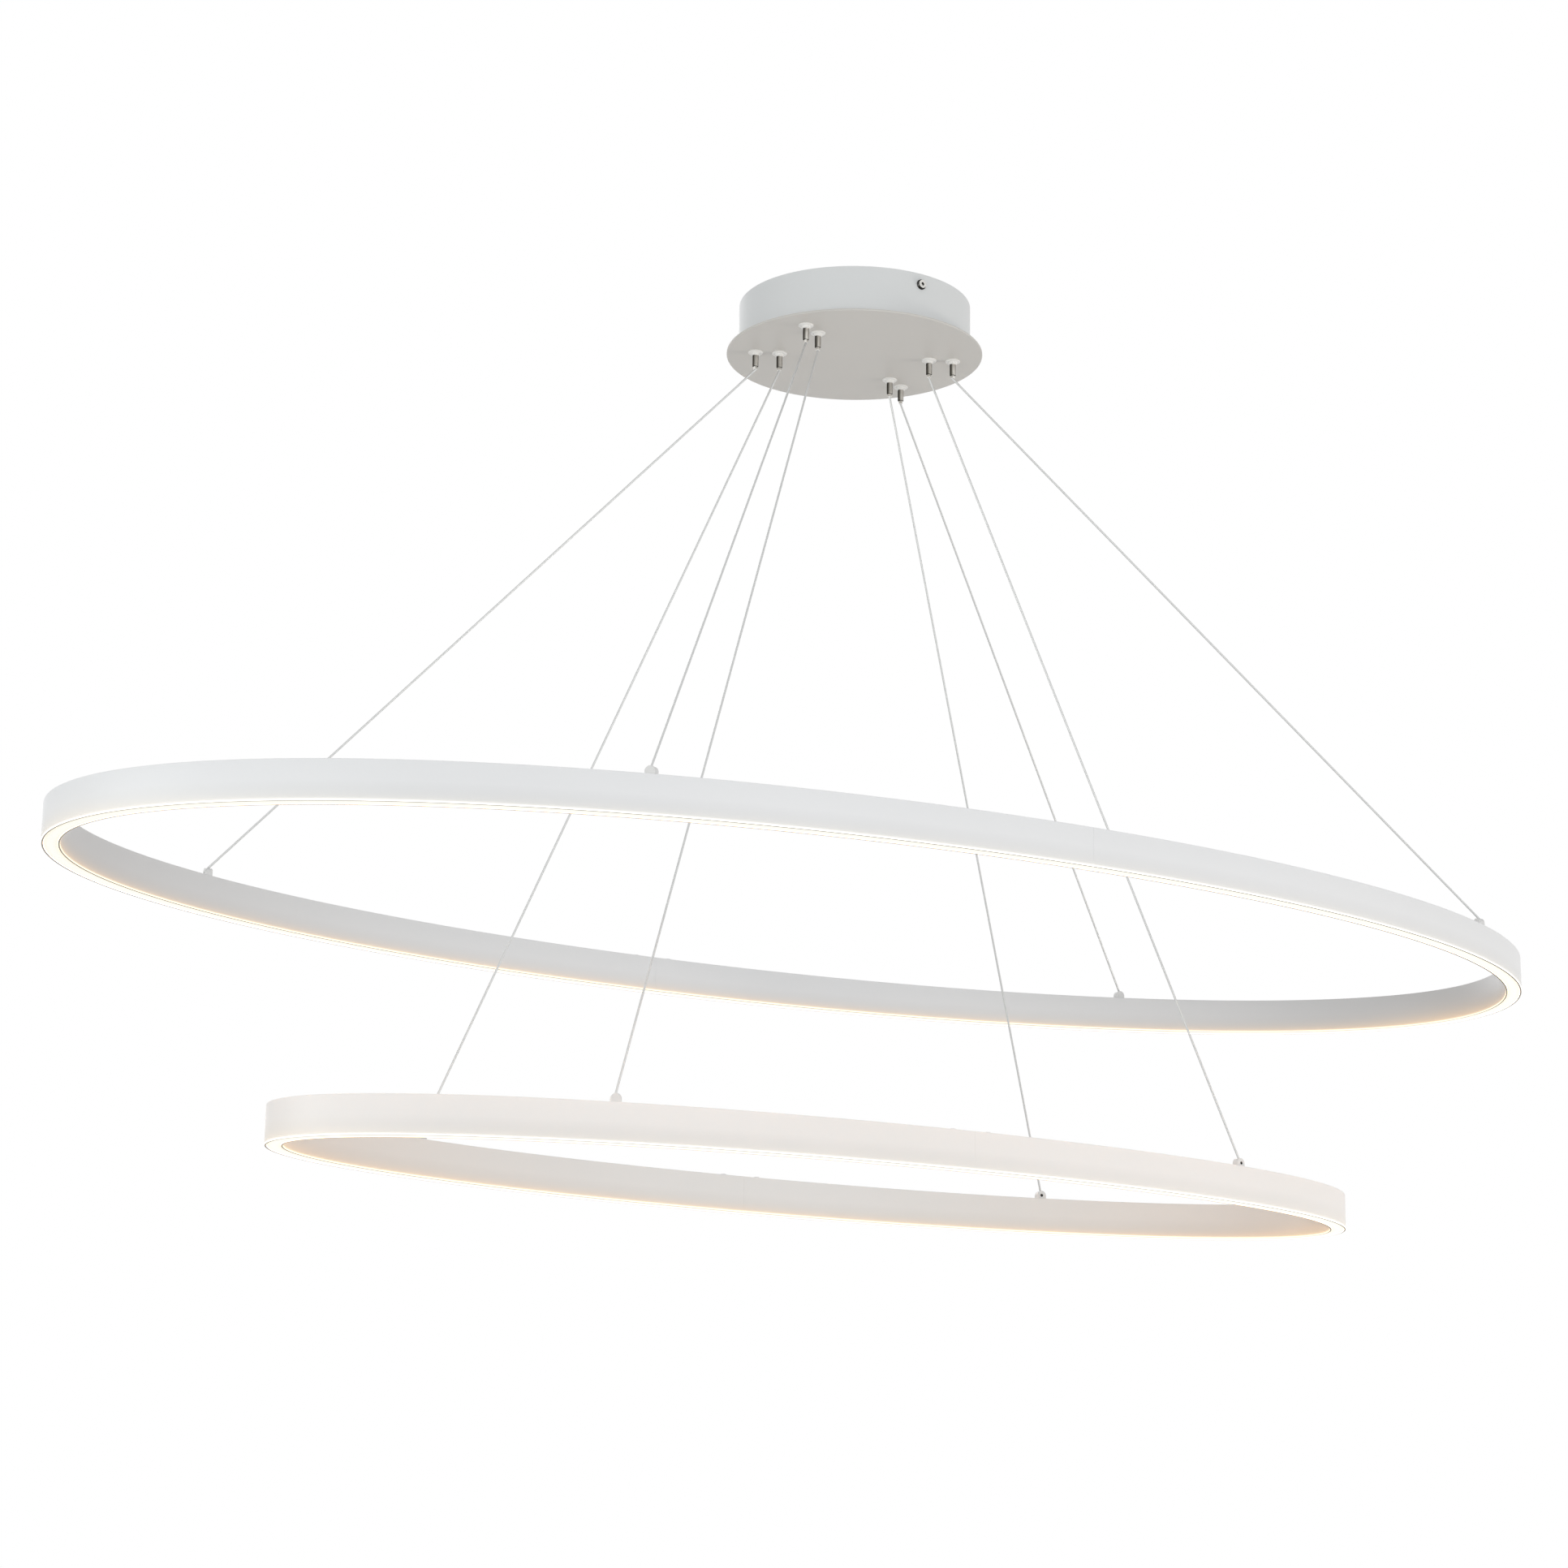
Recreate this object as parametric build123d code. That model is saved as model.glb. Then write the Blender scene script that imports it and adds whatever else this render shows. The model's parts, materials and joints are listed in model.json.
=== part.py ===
# A two-tier pendant light. A round canopy on the ceiling carries two level oval rings, one below the
# other, each on four slanted steel cables. Every cable runs down from its own spring gripper in the
# canopy's bottom plate to a small anchor on top of its ring. Each ring is two halves of a bent
# aluminium profile, spliced at the middle of its long sides, with a LED strip and an opal diffuser.
#
# Millimetres and degrees. The origin is on the ceiling, at the middle of the canopy. X runs along the
# rings' long axis, Y along their short axis, and Z up.

import os
from math import atan2, cos, degrees, hypot, radians, sin

from build123d import *

os.makedirs("parts", exist_ok=True)

# ---- Driving dimensions -------------------------------------------------------------------------

# Canopy: a rolled drum, spot-welded by its inner lip to a slightly wider bottom plate.
canopy_depth = 47.0  # from the ceiling to the plate's underside
plate_radius = 119.0
plate_thickness = 2.0
plate_rim_round = 0.6
drum_radius = 107.7
drum_wall = 1.0
drum_lip = 7.0

# Ceiling bracket: a strip with two slots for the ceiling screws and a tab turned down at each end.
bracket_width = 24.0
bracket_thickness = 2.0
bracket_tab_depth = 17.0
bracket_bend = 3.0
bracket_play = 0.3  # from the tab's corners to the inside of the drum
slot_spacing = 80.0
slot_width = 5.0
slot_length = 14.0
supply_hole_radius = 8.0

# Screws: two at the canopy's sides, one for the earth wire. Metric sizes.
side_screw_radius = 2.5
side_screw_drop = 10.5  # below the ceiling
side_screw_length = 9.0
side_head_radius = 4.7
side_head_height = 2.7
side_socket_across = 3.0
screw_hole_play = 0.25
thread_play = 0.05
earth_screw_radius = 2.0
earth_screw_place = 20.0  # along the bracket, from its middle
earth_screw_length = 5.0
earth_screw_sink = 0.2  # of its tip below the ceiling
earth_head_radius = 3.8
earth_head_height = 2.6
earth_socket_across = 2.5

# Drivers: one for each ring, beside the middle, held by weld studs and nuts.
driver_width = 34.0
driver_length = 118.0
driver_height = 22.0
driver_gap = 24.0  # between the two drivers, where the terminal block lies
driver_round = 2.0
ear_length = 9.0
ear_width = 15.0
ear_thickness = 2.5
stud_radius = 1.5
stud_height = 8.0
stud_play = 0.2
nut_across = 5.5
nut_height = 2.4

# Terminal block: three poles in the middle of the plate.
terminal_width = 17.0
terminal_length = 46.0
terminal_height = 14.0
terminal_poles = 3
terminal_step = 4.0
terminal_tower_width = 12.0
terminal_tower_gap = 4.0
terminal_screw_radius = 1.6

# Leads inside the canopy.
mains_lead_radius = 2.2
mains_lead_reach = 12.0  # how far the lead swings out past the driver's end
mains_lead_level = 8.0  # above the plate
feed_lead_radius = 1.1
feed_lead_rise = 7.0

# Grippers: eight spring clamps in the plate, four for each ring, seen as a white flange with a
# raised boss, a nickel sleeve, and the end of the release plunger, which is pushed up to let go.
upper_gripper_circle = 92.4  # radius
lower_gripper_circle = 70.1
gripper_angle = 27.4  # from the rings' long axis
flange_radius = 6.9
flange_thickness = 1.2
boss_radius = 4.0
boss_height = 2.4
flange_edge = 0.4
nipple_radius = 2.35
nipple_play = 0.15
nipple_rise = 7.0  # above the plate's top
gripper_nut_across = 8.0
gripper_nut_height = 3.0
sleeve_radius = 2.75
sleeve_length = 10.7
sleeve_edge = 0.3
sleeve_lip = 1.0
chamber_radius = 2.3
chamber_length = 5.2
plunger_collar_radius = 2.22
plunger_collar_length = 1.6
plunger_nose_radius = 1.9
plunger_nose_show = 2.8
plunger_nose_edge = 0.35
plunger_play = 0.08  # running clearance, on the radius and under the collar
cable_hole_play = 0.2

# Cables: bare steel with a clear sheath, pulled straight by the rings.
cable_radius = 1.0
cable_gap = 0.3  # where a cable meets a piece that moves
tail_rise = 4.0  # of a cable's end above its gripper

# Rings: outer length and width, height of the underside, and places of the anchors. An anchor's angle
# is counted along the oval from its +X end. The anchors stand as they do on the real lamp, not quite
# evenly: one on the upper ring is set clearly nearer to the middle of its long side than the others.
upper_length = 1500.0
upper_width = 708.0
upper_underside = -596.0
upper_anchor_angles = (47.4, 133.3, 238.8, -43.3)
lower_length = 1110.0
lower_width = 377.0
lower_underside = -827.0
lower_anchor_angles = (54.5, 129.7, 234.0, -54.1)

# Ring profile: a closed wiring duct over an open channel, drawn in one piece.
band_height = 33.0
band_width = 15.0
band_wall = 1.8
top_web = 2.0
shelf_height = 12.0  # of the shelf's underside above the ring's underside
shelf_web = 1.4
ledge_reach = 1.0
ledge_height = 1.0

# Diffuser and LED strip.
diffuser_thickness = 2.0
diffuser_recess = 0.3
diffuser_play = 0.1
strip_width = 8.0
strip_thickness = 1.2

# Splices: a straight bar in the duct at each joint of the two halves, with two screws from above.
splice_length = 60.0
splice_play = 0.4
splice_height = 8.0
splice_screw_radius = 1.5
splice_screw_spacing = 36.0
splice_head_radius = 2.8
splice_head_height = 1.5
splice_socket_across = 2.0

# Anchors: small arched blocks on the ring, each held by its stem and a nut in the duct. The cable
# goes in at the crest, and a grub screw in one arched face holds it. That face looks along the turn.
anchor_width = 9.2
anchor_depth = 7.0
anchor_height = 7.8
anchor_edge = 0.5
upper_anchor_turns = (81.0, 166.0, 31.0, 176.0)
lower_anchor_turns = (-104.0, 104.0, 66.0, -84.0)
anchor_stem_radius = 2.0
anchor_stem_length = 7.0
anchor_nut_across = 7.0
anchor_nut_height = 3.0
anchor_cable_depth = 6.0
grub_radius = 1.4
grub_height = 3.4  # above the ring's top
grub_length = 2.4
grub_recess = 0.3

# ---- Levels and shared sizes --------------------------------------------------------------------

plate_under = -canopy_depth
plate_top = plate_under + plate_thickness
drum_inside = drum_radius - drum_wall
boss_under = plate_under - flange_thickness - boss_height
sleeve_under = boss_under - sleeve_length
nose_under = sleeve_under - plunger_nose_show
cable_exit = nose_under - cable_gap
nipple_top = plate_top + nipple_rise
tail_top = nipple_top + tail_rise
cable_hole_radius = cable_radius + cable_hole_play
duct_width = band_width - 2 * band_wall
oval_steps = 24

ON_FLOOR = (Align.CENTER, Align.CENTER, Align.MIN)


# ---- Small builders -----------------------------------------------------------------------------


def save(shape, node):
    """Writes one sub-part."""
    export_step(shape, f"parts/{node}.step")


def group(shapes):
    """Separate solids of one kind, kept together in one sub-part."""
    return Compound(children=[shape.solid() for shape in shapes])


def rod(radius, bottom, top):
    """An upright cylinder between two levels, on the Z axis."""
    return Pos(0, 0, bottom) * Cylinder(radius, top - bottom, align=ON_FLOOR)


def block(width, length, bottom, top):
    """An upright box between two levels, on the Z axis."""
    return Pos(0, 0, bottom) * Box(width, length, top - bottom, align=ON_FLOOR)


def turned(*profile):
    """A lathe-turned piece: a closed profile of (radius, height) points, revolved about Z."""
    outline = Plane.XZ * Polyline(*profile, close=True)
    return revolve(make_face(outline), Axis.Z)


def hex_nut(across, height, hole_radius, bottom):
    """A hexagon nut standing on the given level."""
    body = extrude(RegularPolygon(across / 2, 6, major_radius=False), height)
    return Pos(0, 0, bottom) * (body - rod(hole_radius, -height, 2 * height))


def at_four(x, y):
    """The place (x, y) and its three mirror images, counter-clockwise from +X +Y."""
    return [(x, y), (-x, y), (-x, -y), (x, -y)]


# ---- Canopy -------------------------------------------------------------------------------------


def gripper_places(circle_radius):
    """Where the four grippers of one ring pass through the plate."""
    angle = radians(gripper_angle)
    return at_four(circle_radius * cos(angle), circle_radius * sin(angle))


upper_places = gripper_places(upper_gripper_circle)
lower_places = gripper_places(lower_gripper_circle)
all_places = upper_places + lower_places
driver_x = driver_gap / 2 + driver_width / 2
stud_places = at_four(driver_x, driver_length / 2 + ear_length / 2)


def make_plate():
    """The bottom plate, with its gripper holes and the weld studs for the drivers."""
    plate = rod(plate_radius, plate_under, plate_top)
    plate = fillet(plate.edges().filter_by(GeomType.CIRCLE), plate_rim_round)
    hole = rod(nipple_radius + nipple_play, plate_under - 1, plate_top + 1)
    stud = rod(stud_radius, plate_top, plate_top + stud_height)
    plate -= [Pos(x, y, 0) * hole for x, y in all_places]
    return plate + [Pos(x, y, 0) * stud for x, y in stud_places]


def make_drum():
    """The rolled drum, open at the ceiling, with the lip that is welded to the plate."""
    shell = rod(drum_radius, plate_top, 0)
    shell -= rod(drum_inside, plate_top + drum_wall, 1)
    shell -= rod(drum_inside - drum_lip, plate_top - 1, 1)
    side_hole = Cylinder(side_screw_radius + screw_hole_play, 4 * drum_radius)
    return shell - Pos(0, 0, -side_screw_drop) * Rot(90, 0, 0) * side_hole


def make_bracket():
    """The strip that is screwed to the ceiling, bent down at both ends to meet the side screws."""
    half_width = bracket_width / 2
    tab_face = (drum_inside**2 - half_width**2) ** 0.5 - bracket_play
    inner_face = tab_face - bracket_thickness
    strip = block(bracket_width, 2 * tab_face, -bracket_tab_depth, 0)
    bay = block(bracket_width + 2, 2 * inner_face, -bracket_tab_depth - 1, -bracket_thickness)
    bracket = strip - bay
    corners = bracket.edges().filter_by(Axis.X).group_by(Axis.Z)[-1]
    bracket = fillet(corners, bracket_bend)
    slot = extrude(SlotOverall(slot_length, slot_width, rotation=90), 2 * bracket_thickness, both=True)
    tapping = Cylinder(side_screw_radius + thread_play, 4 * drum_radius)
    earth_hole = rod(earth_screw_radius + thread_play, -2 * bracket_thickness, 1)
    bracket -= rod(supply_hole_radius, -2 * bracket_thickness, 1)
    bracket -= [Pos(0, side * slot_spacing / 2, 0) * slot for side in (-1, 1)]
    bracket -= Pos(0, 0, -side_screw_drop) * Rot(90, 0, 0) * tapping
    return bracket - Pos(0, earth_screw_place, 0) * earth_hole


def socketed(screw, across, head_top):
    """The screw with a hexagon socket sunk into its head, about as deep as half its width."""
    socket = extrude(RegularPolygon(across / 2, 6, major_radius=False), across)
    return screw - Pos(0, 0, head_top - across / 2) * socket


def make_socket_screw(radius, length, head_radius, head_height, socket_across):
    """A domed screw with a hexagon socket. The head's seat is at Z 0 and the shank points down."""
    edge = head_height / 3
    screw = turned(
        (0, -length),
        (radius - edge / 2, -length),
        (radius, -length + edge / 2),
        (radius, 0),
        (head_radius, 0),
        (head_radius, head_height - 2 * edge),
        (head_radius - edge, head_height),
        (0, head_height),
    )
    return socketed(screw, socket_across, head_height)


def make_side_screws():
    """The two screws that hold the drum to the bracket's tabs, at the ends of the short axis."""
    screw = make_socket_screw(
        side_screw_radius,
        side_screw_length,
        side_head_radius,
        side_head_height,
        side_socket_across,
    )
    seated = Pos(0, -drum_radius, -side_screw_drop) * Rot(90, 0, 0) * screw
    return group([seated, Rot(0, 0, 180) * seated])


def make_earth_screw():
    """The earth wire's screw, driven up into the bracket."""
    screw = make_socket_screw(
        earth_screw_radius,
        earth_screw_length,
        earth_head_radius,
        earth_head_height,
        earth_socket_across,
    )
    head_seat = -earth_screw_length - earth_screw_sink
    return Pos(0, earth_screw_place, head_seat) * Rot(180, 0, 0) * screw


def make_driver():
    """A potted driver: a closed box with a drilled ear at each end, standing on the plate."""
    body = block(driver_width, driver_length, plate_top, plate_top + driver_height)
    body = fillet(body.edges().filter_by(Axis.Z), driver_round)
    body = chamfer(body.faces().sort_by(Axis.Z)[-1].edges(), driver_round / 2)
    whole_length = driver_length + 2 * ear_length
    body += block(ear_width, whole_length, plate_top, plate_top + ear_thickness)
    ear_hole = rod(stud_radius + stud_play, plate_top - 1, plate_top + 2 * ear_thickness)
    ear_y = driver_length / 2 + ear_length / 2
    return body - [Pos(0, side * ear_y, 0) * ear_hole for side in (-1, 1)]


def make_terminal_block():
    """The screw terminals for the supply, with one raised tower and screw for each pole."""
    base_top = plate_top + terminal_height - terminal_step
    body = block(terminal_width, terminal_length, plate_top, base_top)
    pitch = terminal_length / terminal_poles
    tower_length = pitch - terminal_tower_gap
    tower = block(terminal_tower_width, tower_length, base_top, base_top + terminal_step)
    well = rod(terminal_screw_radius, base_top, base_top + 2 * terminal_step)
    for pole in range(terminal_poles):
        y = (pole - (terminal_poles - 1) / 2) * pitch
        body += Pos(0, y, 0) * (tower - well)
    return body


def make_canopy_nuts():
    """The nuts on the weld studs."""
    nut = hex_nut(nut_across, nut_height, stud_radius + thread_play, plate_top + ear_thickness)
    return group([Pos(x, y, 0) * nut for x, y in stud_places])


def make_lead(radius, bend_radius, *points):
    """A round wire along straight runs with rounded corners."""
    route = FilletPolyline(*points, radius=bend_radius)
    section = Plane(origin=route @ 0, z_dir=route % 0) * Circle(radius)
    return sweep(section, path=route)


def make_mains_leads():
    """From the terminal block round to the input end of each driver."""
    level = plate_top + mains_lead_level
    start = -terminal_length / 2
    driver_end = -driver_length / 2
    turn = driver_end - mains_lead_reach
    first_x = terminal_width / 4
    last_x = driver_x - ear_width / 2 - 1.5 * mains_lead_radius
    bend = 0.45 * min(mains_lead_reach, last_x - first_x)

    def one(side):
        return make_lead(
            mains_lead_radius,
            bend,
            (side * first_x, start, level),
            (side * first_x, turn, level),
            (side * last_x, turn, level),
            (side * last_x, driver_end, level),
        )

    return group([one(-1), one(1)])


def make_feed_leads():
    """From each driver's outer side to the ends of the two nearest cables of its ring."""
    driver_side = driver_gap / 2 + driver_width
    level = tail_top + feed_lead_rise
    leads = []
    for side, circle in ((-1, upper_gripper_circle), (1, lower_gripper_circle)):
        x, y = circle * cos(radians(gripper_angle)), circle * sin(radians(gripper_angle))
        for hand in (-1, 1):
            top = (side * x, hand * y, level)
            foot = (side * x, hand * y, tail_top)
            driver_end = (side * driver_side, hand * y, level)
            leads.append(make_lead(feed_lead_radius, 0.45 * feed_lead_rise, foot, top, driver_end))
    return group(leads)


# ---- Grippers -----------------------------------------------------------------------------------


def make_flange():
    """The painted flange with its raised boss, seated on the plate's underside."""
    hole = nipple_radius + nipple_play
    step = plate_under - flange_thickness
    return turned(
        (hole, plate_under),
        (flange_radius, plate_under),
        (flange_radius, step + flange_edge),
        (flange_radius - flange_edge, step),
        (boss_radius, step),
        (boss_radius, boss_under + flange_edge),
        (boss_radius - flange_edge, boss_under),
        (hole, boss_under),
    )


def make_sleeve():
    """The nickel gripper body: a threaded nipple over a sleeve that holds the release plunger."""
    lip_top = sleeve_under + sleeve_lip
    chamber_top = lip_top + chamber_length
    mouth = plunger_nose_radius + plunger_play
    return turned(
        (cable_hole_radius, nipple_top),
        (nipple_radius, nipple_top),
        (nipple_radius, boss_under),
        (sleeve_radius, boss_under),
        (sleeve_radius, sleeve_under + sleeve_edge),
        (sleeve_radius - sleeve_edge, sleeve_under),
        (mouth, sleeve_under),
        (mouth, lip_top),
        (chamber_radius, lip_top),
        (chamber_radius, chamber_top),
        (cable_hole_radius, chamber_top),
    )


def make_plunger():
    """The release plunger: a collar trapped in the sleeve, and the nose that shows below it."""
    collar_under = sleeve_under + sleeve_lip + plunger_play
    collar_top = collar_under + plunger_collar_length
    return turned(
        (cable_hole_radius, collar_top),
        (plunger_collar_radius, collar_top),
        (plunger_collar_radius, collar_under),
        (plunger_nose_radius, collar_under),
        (plunger_nose_radius, nose_under + plunger_nose_edge),
        (plunger_nose_radius - plunger_nose_edge, nose_under),
        (cable_hole_radius, nose_under),
    )


# ---- Rings --------------------------------------------------------------------------------------


def oval_point(length, width, inset, angle):
    """The point at a fixed distance inside an ellipse, measured square to its edge."""
    long_part = length / 2 * sin(angle)
    short_part = width / 2 * cos(angle)
    reach = hypot(long_part, short_part)
    x = length / 2 * cos(angle) - inset * short_part / reach
    y = width / 2 * sin(angle) - inset * long_part / reach
    return x, y


def half_oval(length, width, inset):
    """The edge of the ring's +X half, from -Y round to +Y, at the given inset."""
    angles = [radians(-90 + 180 * step / oval_steps) for step in range(oval_steps + 1)]
    points = [oval_point(length, width, inset, angle) for angle in angles]
    return Spline(*points, tangents=[(1, 0), (-1, 0)])


def half_band(length, width, outer_inset, inner_inset, bottom, top):
    """The ring's +X half between two insets and two levels, square-ended."""
    outer = half_oval(length, width, outer_inset)
    inner = half_oval(length, width, inner_inset)
    ends = [Line(outer @ 0, inner @ 0), Line(outer @ 1, inner @ 1)]
    face = make_face(Curve() + [outer, inner, *ends])
    return Pos(0, 0, bottom) * extrude(face, top - bottom)


def full_band(length, width, outer_inset, inner_inset, bottom, top):
    """A closed ring between two insets and two levels."""
    half = half_band(length, width, outer_inset, inner_inset, bottom, top)
    return half + Rot(0, 0, 180) * half


def anchor_places(length, width, angles):
    """Where the anchors stand on the middle of the ring's top."""
    return [oval_point(length, width, band_width / 2, radians(angle)) for angle in angles]


def make_frame_half(length, width, bottom, holes):
    """One bent half of the profile, with the holes drilled in its top web."""
    top = bottom + band_height
    channel_top = bottom + shelf_height
    ledge_under = bottom + diffuser_recess + diffuser_thickness
    ledge_inset = band_wall + ledge_reach

    def cut(inset, low, high):
        return half_band(length, width, inset, band_width - inset, low, high)

    half = half_band(length, width, 0, band_width, bottom, top)
    half -= cut(band_wall, channel_top + shelf_web, top - top_web)
    half -= cut(band_wall, ledge_under + ledge_height, channel_top)
    half -= cut(ledge_inset, ledge_under, ledge_under + ledge_height)
    half -= cut(band_wall, bottom, ledge_under)
    return half - holes


def make_splice(width, bottom):
    """The joining bar on the +Y side, lying on the shelf across the two halves."""
    floor = bottom + shelf_height + shelf_web
    bar = block(splice_length, duct_width - 2 * splice_play, floor, floor + splice_height)
    return Pos(0, width / 2 - band_width / 2, 0) * bar


def make_splice_screw(bottom):
    """A socket screw on the ring's top, down through the web and the duct into the bar."""
    top = bottom + band_height
    tip = bottom + shelf_height + shelf_web + splice_height / 2
    head_top = top + splice_head_height
    edge = splice_head_height / 3
    screw = turned(
        (0, tip),
        (splice_screw_radius, tip),
        (splice_screw_radius, top),
        (splice_head_radius, top),
        (splice_head_radius, head_top - edge),
        (splice_head_radius - edge, head_top),
        (0, head_top),
    )
    return socketed(screw, splice_socket_across, head_top)


def make_anchor(bottom):
    """The arched block that a cable ends in, with its cable hole and grub-screw hole."""
    top = bottom + band_height
    crest = top + anchor_height
    arch_radius = anchor_width / 2
    barrel = Rot(0, 90, 0) * Cylinder(arch_radius, anchor_depth)
    foot = block(anchor_depth, anchor_width, top, crest - arch_radius)
    body = foot + Pos(0, 0, crest - arch_radius) * barrel
    body &= block(anchor_depth, anchor_width, top, crest)
    rims = body.edges().filter_by(GeomType.CIRCLE)
    body = chamfer(rims, anchor_edge)
    body += rod(anchor_stem_radius, top - anchor_stem_length, top)
    body -= rod(cable_radius + cable_hole_play, crest - anchor_cable_depth, crest + 1)
    side_hole = Cylinder(grub_radius + thread_play, anchor_depth, align=ON_FLOOR)
    return body - Pos(0, 0, top + grub_height) * Rot(0, 90, 0) * side_hole


def make_grub_screw(bottom):
    """The grub screw in the anchor's side, with its hexagon socket outwards along +X."""
    screw = Cylinder(grub_radius, grub_length, align=(Align.CENTER, Align.CENTER, Align.MAX))
    socket = extrude(RegularPolygon(grub_radius / 2, 6), -grub_length / 2)
    level = bottom + band_height + grub_height
    return Pos(anchor_depth / 2 - grub_recess, 0, level) * Rot(0, 90, 0) * (screw - socket)


def make_anchor_nut(bottom):
    """The nut under the top web that holds an anchor."""
    seat = bottom + band_height - top_web - anchor_nut_height
    return hex_nut(anchor_nut_across, anchor_nut_height, anchor_stem_radius + thread_play, seat)


def make_cable(start, end):
    """A straight round cable between two points, cut level at both ends."""
    run = Vector(*end) - Vector(*start)
    lean = run.length / abs(run.Z)
    heading = degrees(atan2(run.Y, run.X))
    section = Rot(0, 0, heading) * Ellipse(cable_radius * lean, cable_radius)
    return Pos(*start) * extrude(section, run.length, dir=run.normalized())


def build_ring(name, length, width, bottom, angles, turns, grippers):
    """Writes the sub-parts of one ring and its four cables."""
    top = bottom + band_height
    anchors = anchor_places(length, width, angles)
    anchor_hole = rod(anchor_stem_radius + thread_play, top - top_web - 1, top + 1)
    screw_hole = rod(splice_screw_radius + thread_play, bottom + shelf_height + shelf_web, top + 1)
    screw_reach = splice_screw_spacing / 2
    screw_places = at_four(screw_reach, width / 2 - band_width / 2)
    holes = [Pos(x, y, 0) * anchor_hole for x, y in anchors]
    screw_holes = [Pos(x, y, 0) * screw_hole for x, y in screw_places]
    left_holes = [Rot(0, 0, 180) * hole for hole in holes + screw_holes]

    right = make_frame_half(length, width, bottom, holes + screw_holes)
    left = Rot(0, 0, 180) * make_frame_half(length, width, bottom, left_holes)
    save(right, f"{name}_frame_right")
    save(left, f"{name}_frame_left")

    edge = band_wall + diffuser_play
    low = bottom + diffuser_recess
    diffuser = full_band(length, width, edge, band_width - edge, low, low + diffuser_thickness)
    save(diffuser, f"{name}_diffuser")

    strip_edge = (band_width - strip_width) / 2
    strip_top = bottom + shelf_height
    strip_under = strip_top - strip_thickness
    strip = full_band(length, width, strip_edge, band_width - strip_edge, strip_under, strip_top)
    save(strip, f"{name}_led_strip")

    splice = make_splice(width, bottom) - screw_holes
    save(group([splice, Rot(0, 0, 180) * splice]), f"{name}_splices")
    screw = make_splice_screw(bottom)
    save(group([Pos(x, y, 0) * screw for x, y in screw_places]), f"{name}_splice_screws")

    anchor = make_anchor(bottom)
    grub = make_grub_screw(bottom)
    nut = make_anchor_nut(bottom)
    poses = [Pos(x, y, 0) * Rot(0, 0, turn) for (x, y), turn in zip(anchors, turns)]
    save(group([pose * anchor for pose in poses]), f"{name}_anchors")
    save(group([pose * grub for pose in poses]), f"{name}_grub_screws")
    save(group([pose * nut for pose in poses]), f"{name}_anchor_nuts")

    cable_end = top + anchor_height + cable_gap
    for number, ((x, y), (gx, gy)) in enumerate(zip(anchors, grippers), start=1):
        cable = make_cable((gx, gy, cable_exit), (x, y, cable_end))
        save(cable, f"{name}_cable_{number}")


# ---- Build --------------------------------------------------------------------------------------

save(make_bracket(), "ceiling_bracket")
save(make_drum(), "canopy_drum")
save(make_plate(), "canopy_plate")
save(make_side_screws(), "side_screws")
save(make_earth_screw(), "earth_screw")
save(make_canopy_nuts(), "driver_nuts")
save(make_terminal_block(), "terminal_block")
save(make_mains_leads(), "mains_leads")
save(make_feed_leads(), "feed_leads")

driver = make_driver()
save(Pos(-driver_x, 0, 0) * driver, "upper_driver")
save(Pos(driver_x, 0, 0) * driver, "lower_driver")

flange = make_flange()
lock_nut = hex_nut(gripper_nut_across, gripper_nut_height, nipple_radius + thread_play, plate_top)
tail = rod(cable_radius, cable_exit, tail_top)
save(group([Pos(x, y, 0) * flange for x, y in all_places]), "gripper_flanges")
save(group([Pos(x, y, 0) * lock_nut for x, y in all_places]), "gripper_nuts")
save(group([Pos(x, y, 0) * tail for x, y in all_places]), "cable_tails")

sleeve = make_sleeve()
plunger = make_plunger()
for name, places in (("upper", upper_places), ("lower", lower_places)):
    for number, (x, y) in enumerate(places, start=1):
        save(Pos(x, y, 0) * sleeve, f"{name}_gripper_{number}")
        save(Pos(x, y, 0) * plunger, f"{name}_plunger_{number}")

build_ring(
    "upper",
    upper_length,
    upper_width,
    upper_underside,
    upper_anchor_angles,
    upper_anchor_turns,
    upper_places,
)
build_ring(
    "lower",
    lower_length,
    lower_width,
    lower_underside,
    lower_anchor_angles,
    lower_anchor_turns,
    lower_places,
)
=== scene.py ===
import json
import math

import bmesh
import bpy
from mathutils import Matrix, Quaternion, Vector


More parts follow.
